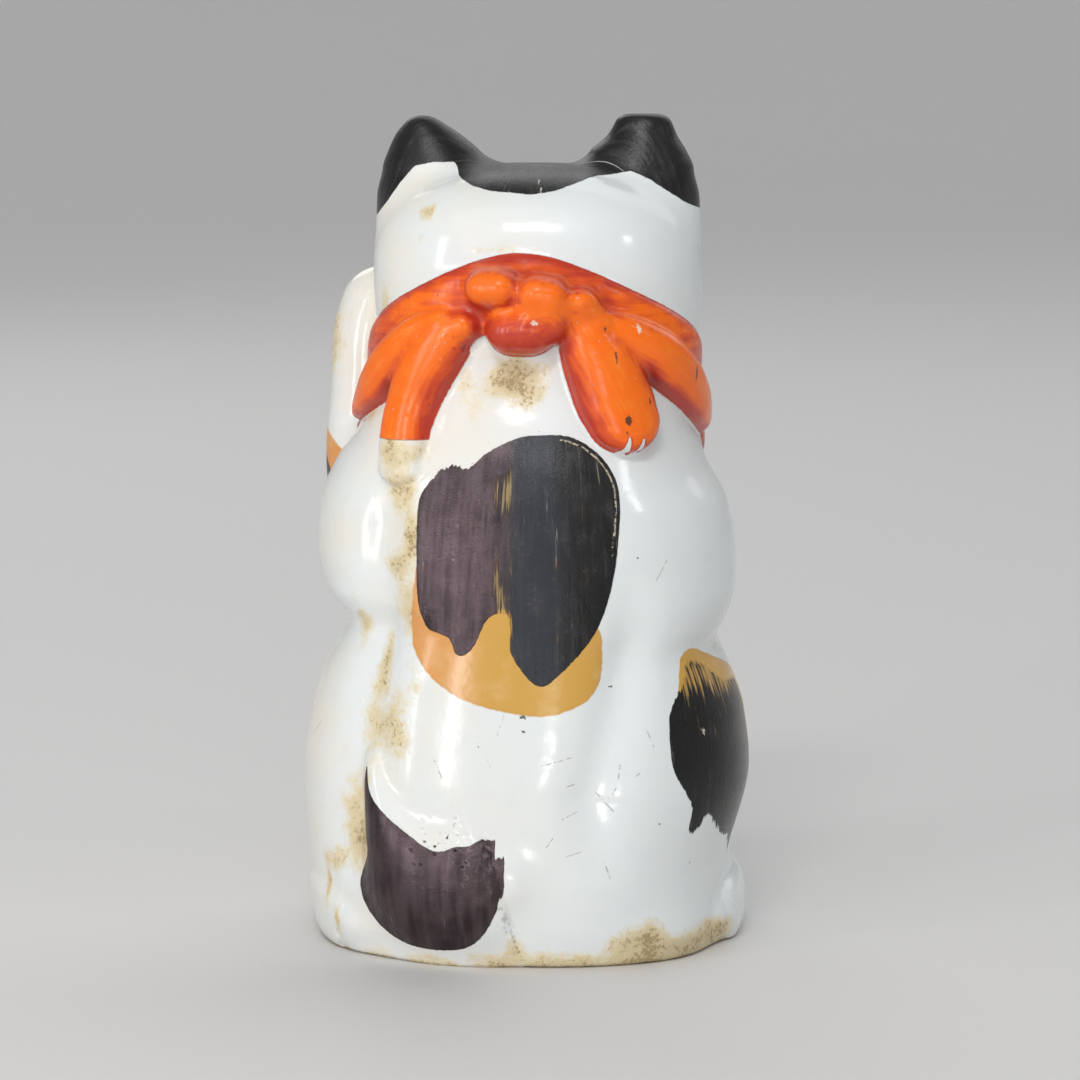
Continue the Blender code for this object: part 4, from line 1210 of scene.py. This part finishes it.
def lay_front(n, colour):
    """The eyes, the pink, the cloth of the bib, the brushed lines and the scratches."""
    eye = n.step(n.sum((n.eye_in, 1.0), (n.uneven, 0.1)), 0.0, 0.12)
    colour = n.blend(eye, colour, (0.72, 0.50, 0.10))
    rim = n.times(n.step(n.eye_in, -0.45, -0.3), n.step(n.eye_in, 0.22, 0.1))
    n.dark = n.larger(rim, n.step(n.pupil_in, 0.0, 0.12))
    pink = n.step(n.sum((n.pink_in, 1.0), (n.uneven, 0.12)), 0.0, 0.1)
    rosy = n.blend(n.step(n.soft, 0.35, 0.65), (0.62, 0.09, 0.06), (0.70, 0.16, 0.10))
    colour = n.blend(pink, colour, rosy)
    n.bib = n.step(n.sum((n.bib_in, 1.0), (n.uneven, 0.2)), 0.0, 0.15)
    waves = n.times(n.wave(n.across, 2.1), n.wave(n.along, 2.1))
    cloth = n.blend(n.step(waves, 0.35, 0.45), (0.025, 0.085, 0.24), (0.62, 0.42, 0.12))
    colour = n.blend(n.bib, colour, cloth)
    offset = n.add("ShaderNodeCombineXYZ")
    n.put(offset.inputs[0], n.line_x)
    n.put(offset.inputs[1], n.line_z)
    on_face = n.step(n.crown, -0.6, -0.9)
    stroke_width = n.sum((on_face, 0.14), (n.soft, 0.14), (0.01, 1.0))
    stroke = n.step(n.sum((stroke_width, 1.0), (n.length(offset.outputs[0]), -1.0)), -0.04, 0.07)
    stroke = n.times(stroke, n.math("LESS_THAN", n.line_reach, 0.9))
    n.scratch = n.times(stroke, n.step(n.fine, 0.42, 0.52))
    n.scratch = n.times(n.scratch, n.sum((1.0, 1.0), (on_face, -1.0)))
    n.dark = n.larger(n.dark, n.times(stroke, on_face))
    colour = n.blend(n.times(n.scratch, 0.6), colour, (0.22, 0.15, 0.08))
    return n.blend(n.dark, colour, (0.016, 0.014, 0.016))


def lay_marks(n, colour):
    """Chipped white spots, painted glints on the red, and black flecks."""
    broken = n.times(n.centred(n.grains), 0.9)
    # Off-white spots: chips in the glaze and enamel, and painted glints on the lower knot and the right loop.
    chip_and_glint = n.step(n.sum((n.chip_in, 1.0), (broken, 1.0)), 0.5, 0.6)
    colour = n.blend(n.times(chip_and_glint, 0.8), colour, (0.72, 0.66, 0.56))
    fleck = n.step(n.sum((n.fleck_in, 1.0), (broken, 1.0)), 0.45, 0.55)
    n.speck = n.larger(n.times(n.speck, 0.85), fleck)
    return n.blend(n.times(n.speck, 0.9), colour, (0.05, 0.035, 0.028))


def lay_surface(n):
    """How glossy and how raised each layer is."""
    rough = n.sum((0.11, 1.0), (n.soft, 0.08))
    rough = n.between(n.yellow, rough, 0.45)
    rough = n.between(n.ochre, rough, 0.2)
    rough = n.between(n.red, rough, n.sum((0.18, 1.0), (n.fine, 0.12)))
    rough = n.between(n.black, rough, n.sum((0.14, 1.0), (n.fine, 0.14), (n.soft, 0.08)))
    n.put(n.shader.inputs["Roughness"], rough)
    n.put(n.shader.inputs["Metallic"], n.times(n.black, n.sum((n.violet, 0.6), (0.15, 1.0))))

    enamel = n.larger(n.times(n.larger(n.black, n.red), 0.4), n.yellow)
    n.relief(n.sum(
        (n.soft, 0.06), (n.times(n.fine, enamel), 0.09), (n.times(n.grains, n.black), 0.05),
        (n.black, 0.08), (n.red, 0.07), (n.ochre, 0.02), (n.bib, 0.04), (n.dark, 0.03),
        (n.times(n.hairs, n.black), 0.05), (n.times(n.grains, n.brown), 0.08),
        (n.speck, -0.05), (n.scratch, -0.02),
    ))
    n.shader.inputs["IOR"].default_value = 1.5
    n.put(n.shader.inputs["Specular IOR Level"], n.sum((0.5, 1.0), (n.red, -0.05), (n.black, -0.12)))


def make_porcelain():
    n = Nodes("painted_porcelain")
    read_layers(n)
    colour = lay_glaze(n)
    for lay in (lay_stains, lay_ochre, lay_red, lay_black, lay_front, lay_marks):
        colour = lay(n, colour)
    n.put(n.shader.inputs["Base Color"], colour)
    lay_surface(n)
    return n.material


def make_gilt():
    n = Nodes("worn_gilt")
    fine, soft = n.noise(0.5, 4), n.noise(1.6, 3)
    stain, hollow, crest, _ = n.three("age")
    tarnish = n.step(n.sum((hollow, 1.0), (soft, 0.9)), 0.55, 1.1)
    gold = n.blend(n.step(fine, 0.35, 0.7), (0.68, 0.44, 0.13), (0.78, 0.55, 0.22))
    n.put(n.shader.inputs["Base Color"], n.blend(tarnish, gold, (0.20, 0.12, 0.045)))
    n.put(n.shader.inputs["Metallic"], n.between(tarnish, 0.95, 0.25))
    n.put(n.shader.inputs["Roughness"], n.between(tarnish, n.sum((0.2, 1.0), (fine, 0.15)), 0.6))
    n.relief(n.sum((fine, 0.05), (soft, 0.05)))
    return n.material


def make_clay():
    n = Nodes("unglazed_clay")
    fine, soft, broad = n.noise(0.4, 5, roughness=0.65), n.noise(2.0, 3), n.noise(9.0, 2)
    colour = n.blend(n.step(soft, 0.3, 0.7), (0.66, 0.58, 0.46), (0.74, 0.70, 0.62))
    colour = n.blend(n.times(n.step(broad, 0.45, 0.65), 0.6), colour, (0.42, 0.29, 0.15))
    colour = n.blend(n.step(fine, 0.66, 0.74), colour, (0.22, 0.15, 0.09))
    n.put(n.shader.inputs["Base Color"], colour)
    n.put(n.shader.inputs["Roughness"], n.sum((0.72, 1.0), (fine, 0.2)))
    n.relief(n.sum((fine, 0.12), (soft, 0.12)))
    return n.material


def make_plain(name, colour):
    n = Nodes(name)
    cloudy = n.times(n.noise(60, 2), 0.06)
    n.put(n.shader.inputs["Base Color"], n.blend(cloudy, colour, tuple(0.9 * c for c in colour)))
    n.put(n.shader.inputs["Roughness"], n.sum((0.55, 1.0), (n.noise(2.0, 3), 0.1)))
    return n.material


# ---- Pieces ---------------------------------------------------------------------------------------
# How far out the flat map draws the cap's lower edge.
CAP_REACH = 35


def flat_map(points):
    """Places on the skin laid out in a disc: the crown is its middle and the foot its rim."""
    angle, reach, height = round_axis(points)
    cap = CAP_REACH * np.degrees(np.arctan2(reach, height - CAP_START)) / 90
    out = np.where(height > CAP_START, cap, CAP_REACH + CAP_START - height)
    return out[:, None] * np.column_stack([np.cos(np.radians(angle)), np.sin(np.radians(angle))])


def from_flat_map(spots, depth):
    """The places under the skin, at that depth, that flat_map laid out."""
    out = np.hypot(*spots.T)
    angle = np.degrees(np.arctan2(spots[:, 1], spots[:, 0])) % 360
    tilt = np.radians(np.minimum(out / CAP_REACH, 1) * 90)
    on_cap = out < CAP_REACH
    level = CAP_REACH + CAP_START - out
    width = skin_radius(angle, np.where(on_cap, 100.0, level))
    cap = (np.sin(tilt) / width) ** CAP_POWER
    cap += (np.maximum(np.cos(tilt), 0) / (CROWN - CAP_START)) ** CAP_POWER
    reach = cap ** (-1 / CAP_POWER) - depth
    height = np.where(on_cap, CAP_START + reach * np.cos(tilt), level)
    reach = reach * np.sin(tilt)
    turn = np.radians(angle)
    return np.column_stack([AXIS[0] + reach * np.cos(turn), AXIS[1] + reach * np.sin(turn), height])


def edges_of(faces):
    return np.stack([faces, np.roll(faces, -1, axis=1)], axis=2).reshape(-1, 2).astype(np.int64)


def open_edges(edges):
    """The edges that have no partner running the other way."""
    size = edges.max() + 1
    return edges[~np.isin(edges[:, 0] * size + edges[:, 1], edges[:, 1] * size + edges[:, 0])]


def fill_under(points, laid, spacing=2.5, depth=0.5):
    """The skin hidden under the laid-on faces: its new points, and triangles on old and new points."""
    rims = open_edges(edges_of(laid))
    used, local = np.unique(rims, return_inverse=True)
    local = local.reshape(-1, 2)
    spots = flat_map(points[used])
    rim_length = CAP_REACH + CAP_START
    ticks = np.arange(-rim_length, rim_length, spacing)
    grid = np.stack(np.meshgrid(ticks, ticks), axis=-1).reshape(-1, 2)
    grid = grid[np.hypot(*grid.T) < rim_length - 1.0]
    clear = np.ones(len(grid), bool)
    for spot in spots[::2]:
        clear &= np.abs(grid - spot).sum(axis=1) > 1.4
    grid = grid[clear]
    grid = grid[inside_loops(grid, spots[local])]
    everything = np.vstack([spots, grid])
    result = delaunay_2d_cdt([Vector(spot) for spot in everything], local.tolist(), [], 0, 1e-6, True)
    places, triangles, sources = result[0], np.array([f for f in result[2] if len(f) == 3]), result[3]
    source = np.array([s[0] if s else -1 for s in sources])
    triangles = triangles[(source[triangles] >= 0).all(axis=1)]
    middles = np.array([tuple(p) for p in places])[triangles].mean(axis=1)
    triangles = source[triangles[inside_loops(middles, spots[local])]]
    corners = everything[triangles]
    u, v = corners[:, 1] - corners[:, 0], corners[:, 2] - corners[:, 0]
    wound = u[:, 0] * v[:, 1] - u[:, 1] * v[:, 0] > 0
    triangles[~wound] = triangles[~wound][:, ::-1]
    index = np.concatenate([used, len(points) + np.arange(len(grid))])
    return from_flat_map(grid, depth), index[triangles]


def closed_solid(outer, inner, faces):
    """A closed mesh from an outer patch, the same patch further in, and walls along its edges."""
    used = np.unique(np.concatenate([group.reshape(-1) for group in faces]))
    place = np.full(len(outer), -1)
    place[used] = np.arange(len(used))
    groups = [place[group] for group in faces]
    rim = open_edges(np.concatenate([edges_of(group) for group in groups]))
    walls = np.column_stack([rim[:, 1], rim[:, 0], rim[:, 0] + len(used), rim[:, 1] + len(used)])
    polygons = walls.tolist()
    for group in groups:
        polygons += group.tolist() + (group[:, ::-1] + len(used)).tolist()
    return np.concatenate([outer[used], inner[used]]), polygons, used


def add_piece(name, points, polygons, normals, layers, material, node):
    mesh = bpy.data.meshes.new(name)
    mesh.from_pydata((points * MM).tolist(), [], polygons)
    for key, values in layers.items():
        layer = mesh.attributes.new(key, "FLOAT_VECTOR", "POINT")
        layer.data.foreach_set("vector", values.astype(np.float32).ravel())
    mesh.polygons.foreach_set("use_smooth", np.ones(len(polygons), bool))
    mesh.normals_split_custom_set_from_vertices(normals.tolist())
    mesh.materials.append(material)
    piece = bpy.data.objects.new(name, mesh)
    bpy.context.collection.objects.link(piece)
    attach(piece, "root")
    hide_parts(node)


# The covered skin starts this much below the edge of what is laid on it, and a laid piece's
# underside is this much below the skin.
SINK = 0.12
LAID_DEPTH = 0.3
SHELLS = ("back_shell", "front_shell")


def make_pieces():
    points, quads = surface_net(sample_field())
    points, normals = settle(points, quads)
    names = share_out(points, quads)
    floor = names == ""
    rim = np.intersect1d(quads[floor], quads[~floor])
    points[rim, 2] = 0.0
    skin = np.isin(names, SHELLS)
    hidden, triangles = fill_under(points, quads[~floor & ~skin])
    outward = hidden - np.array((*AXIS, 60.0))
    outward /= np.linalg.norm(outward, axis=1, keepdims=True)
    seam = np.unique(triangles[triangles < len(points)])
    everything = np.concatenate([points, hidden, points[seam] - SINK * normals[seam]])
    all_normals = np.concatenate([normals, outward, normals[seam]])
    sunk = np.arange(len(everything))
    sunk[seam] = len(points) + len(hidden) + np.arange(len(seam))
    steps = open_edges(edges_of(triangles))
    steps = np.column_stack([steps, sunk[steps[:, ::-1]]])
    triangles = sunk[triangles]
    layers = paint_layers(everything, all_normals)
    shell_inner = toward_skin(everything, WALL)
    laid_inner = toward_skin(everything, LAID_DEPTH)
    porcelain, gilt = make_porcelain(), make_gilt()
    behind = everything[triangles].mean(axis=1)[:, 1] >= AXIS[1]
    step_behind = everything[steps].mean(axis=1)[:, 1] >= AXIS[1]
    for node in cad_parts:
        mine = names == node
        if not mine.any():
            continue
        faces, inner = [quads[mine]], laid_inner
        if node in SHELLS:
            faces.append(triangles[behind == (node == "back_shell")])
            faces.append(steps[step_behind == (node == "back_shell")])
            inner = shell_inner
        solid, polygons, used = closed_solid(everything, inner, faces)
        kept = {key: np.concatenate([values[used]] * 2) for key, values in layers.items()}
        facing = np.concatenate([all_normals[used], -all_normals[used]])
        material = gilt if node == "bell" else porcelain
        add_piece(node + "_glazed", solid, polygons, facing, kept, material, node)


# ---- Studio ---------------------------------------------------------------------------------------
def aim(thing, place, target):
    thing.location = place
    thing.rotation_euler = (Vector(target) - Vector(place)).to_track_quat("-Z", "Y").to_euler()


# The camera: degrees round from the front and above the floor, then metres.
CAMERA_TURN = 186
CAMERA_LIFT = 8
CAMERA_DISTANCE = 0.7
CAMERA_TARGET = Vector((-0.0023, 0.0020, 0.0580))
CAMERA_LENS = 160.07
# Each lamp's place, width, height, power and colour.
LAMPS = {
    "over_camera": ((0.02, 0.62, 0.60), 0.20, 0.07, 1.55, (1.0, 0.99, 0.97)),
    "left_strip": ((0.52, 0.46, 0.20), 0.05, 0.36, 0.6, (1.0, 1.0, 1.0)),
    "back_strip": ((0.31, 0.66, 0.12), 0.035, 0.26, 0.75, (1.0, 0.95, 0.97)),
    "under_camera": ((-0.08, 0.68, 0.02), 0.07, 0.06, 0.24, (1.0, 0.96, 0.92)),
    "right_spot": ((-0.62, 0.42, 0.42), 0.08, 0.10, 0.25, (1.0, 1.0, 1.0)),
    "front": ((0.35, -0.70, 0.55), 0.4, 0.4, 0.9, (1.0, 1.0, 1.0)),
}
LAMPS_TARGET = (0, 0, 0.06)
# Each soft sun's direction and strength.
SUNS = {"sun_behind": ((0.16, 0.72, 0.70), 0.55), "sun_before": ((-0.35, -0.70, 0.65), 0.8)}
SUN_SPREAD = 60
SKY = (0.92, 0.94, 0.97, 1)
SKY_STRENGTH = 0.355
# The floor is a round sheet, flat this far out and then bent up this much, in metres.
FLOOR_FLAT = 1.4
FLOOR_BEND = 0.7
FLOOR_SIDES = 96
FLOOR_COLOUR = (0.68, 0.67, 0.66)


def make_camera():
    camera = bpy.data.objects.new("camera", bpy.data.cameras.new("camera"))
    bpy.context.collection.objects.link(camera)
    camera.data.sensor_width = 36.0
    camera.data.lens = CAMERA_LENS
    camera.data.clip_end = 40.0
    turn, lift = math.radians(CAMERA_TURN), math.radians(CAMERA_LIFT)
    way = Vector((math.sin(turn) * math.cos(lift), -math.cos(turn) * math.cos(lift), math.sin(lift)))
    aim(camera, CAMERA_TARGET + CAMERA_DISTANCE * way, CAMERA_TARGET)
    bpy.context.scene.camera = camera


def make_lamp(name, place, width, height, power, colour):
    light = bpy.data.lights.new(name, "AREA")
    light.shape = "RECTANGLE"
    light.size, light.size_y = width, height
    light.energy = power
    light.color = colour
    lamp = bpy.data.objects.new(name, light)
    bpy.context.collection.objects.link(lamp)
    aim(lamp, place, LAMPS_TARGET)


def make_sun(name, way, strength):
    light = bpy.data.lights.new(name, "SUN")
    light.energy = strength
    light.angle = math.radians(SUN_SPREAD)
    sun = bpy.data.objects.new(name, light)
    bpy.context.collection.objects.link(sun)
    aim(sun, way, (0, 0, 0))


def make_floor():
    bend = np.radians(np.linspace(0, 90, 10))
    profile = [(FLOOR_FLAT - 0.1, 0.0)]
    profile += [(FLOOR_FLAT + FLOOR_BEND * math.sin(t), FLOOR_BEND * (1 - math.cos(t))) for t in bend]
    turns = np.linspace(0, 2 * math.pi, FLOOR_SIDES, endpoint=False)
    points = [(r * math.cos(a), r * math.sin(a), z) for r, z in profile for a in turns]
    faces = [list(range(FLOOR_SIDES))]
    for i in range(len(profile) - 1):
        ring, above = i * FLOOR_SIDES, (i + 1) * FLOOR_SIDES
        for j in range(FLOOR_SIDES):
            k = (j + 1) % FLOOR_SIDES
            faces.append([ring + k, ring + j, above + j, above + k])
    mesh = bpy.data.meshes.new("floor")
    mesh.from_pydata(points, [], faces)
    mesh.polygons.foreach_set("use_smooth", np.ones(len(faces), bool))
    mesh.materials.append(make_plain("pale_floor", FLOOR_COLOUR))
    floor = bpy.data.objects.new("floor", mesh)
    bpy.context.collection.objects.link(floor)


def make_studio():
    make_floor()
    for name, lamp in LAMPS.items():
        make_lamp(name, *lamp)
    for name, sun in SUNS.items():
        make_sun(name, *sun)
    world = bpy.data.worlds.new("studio")
    world.use_nodes = True
    world.node_tree.nodes["Background"].inputs["Color"].default_value = SKY
    world.node_tree.nodes["Background"].inputs["Strength"].default_value = SKY_STRENGTH
    bpy.context.scene.world = world
    bpy.context.scene.view_settings.view_transform = "Standard"


make_camera()
make_studio()
make_pieces()
clay = make_clay()
for name in ("base_slab", "seam_coil"):
    for material_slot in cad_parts[name].material_slots:
        material_slot.material = clay
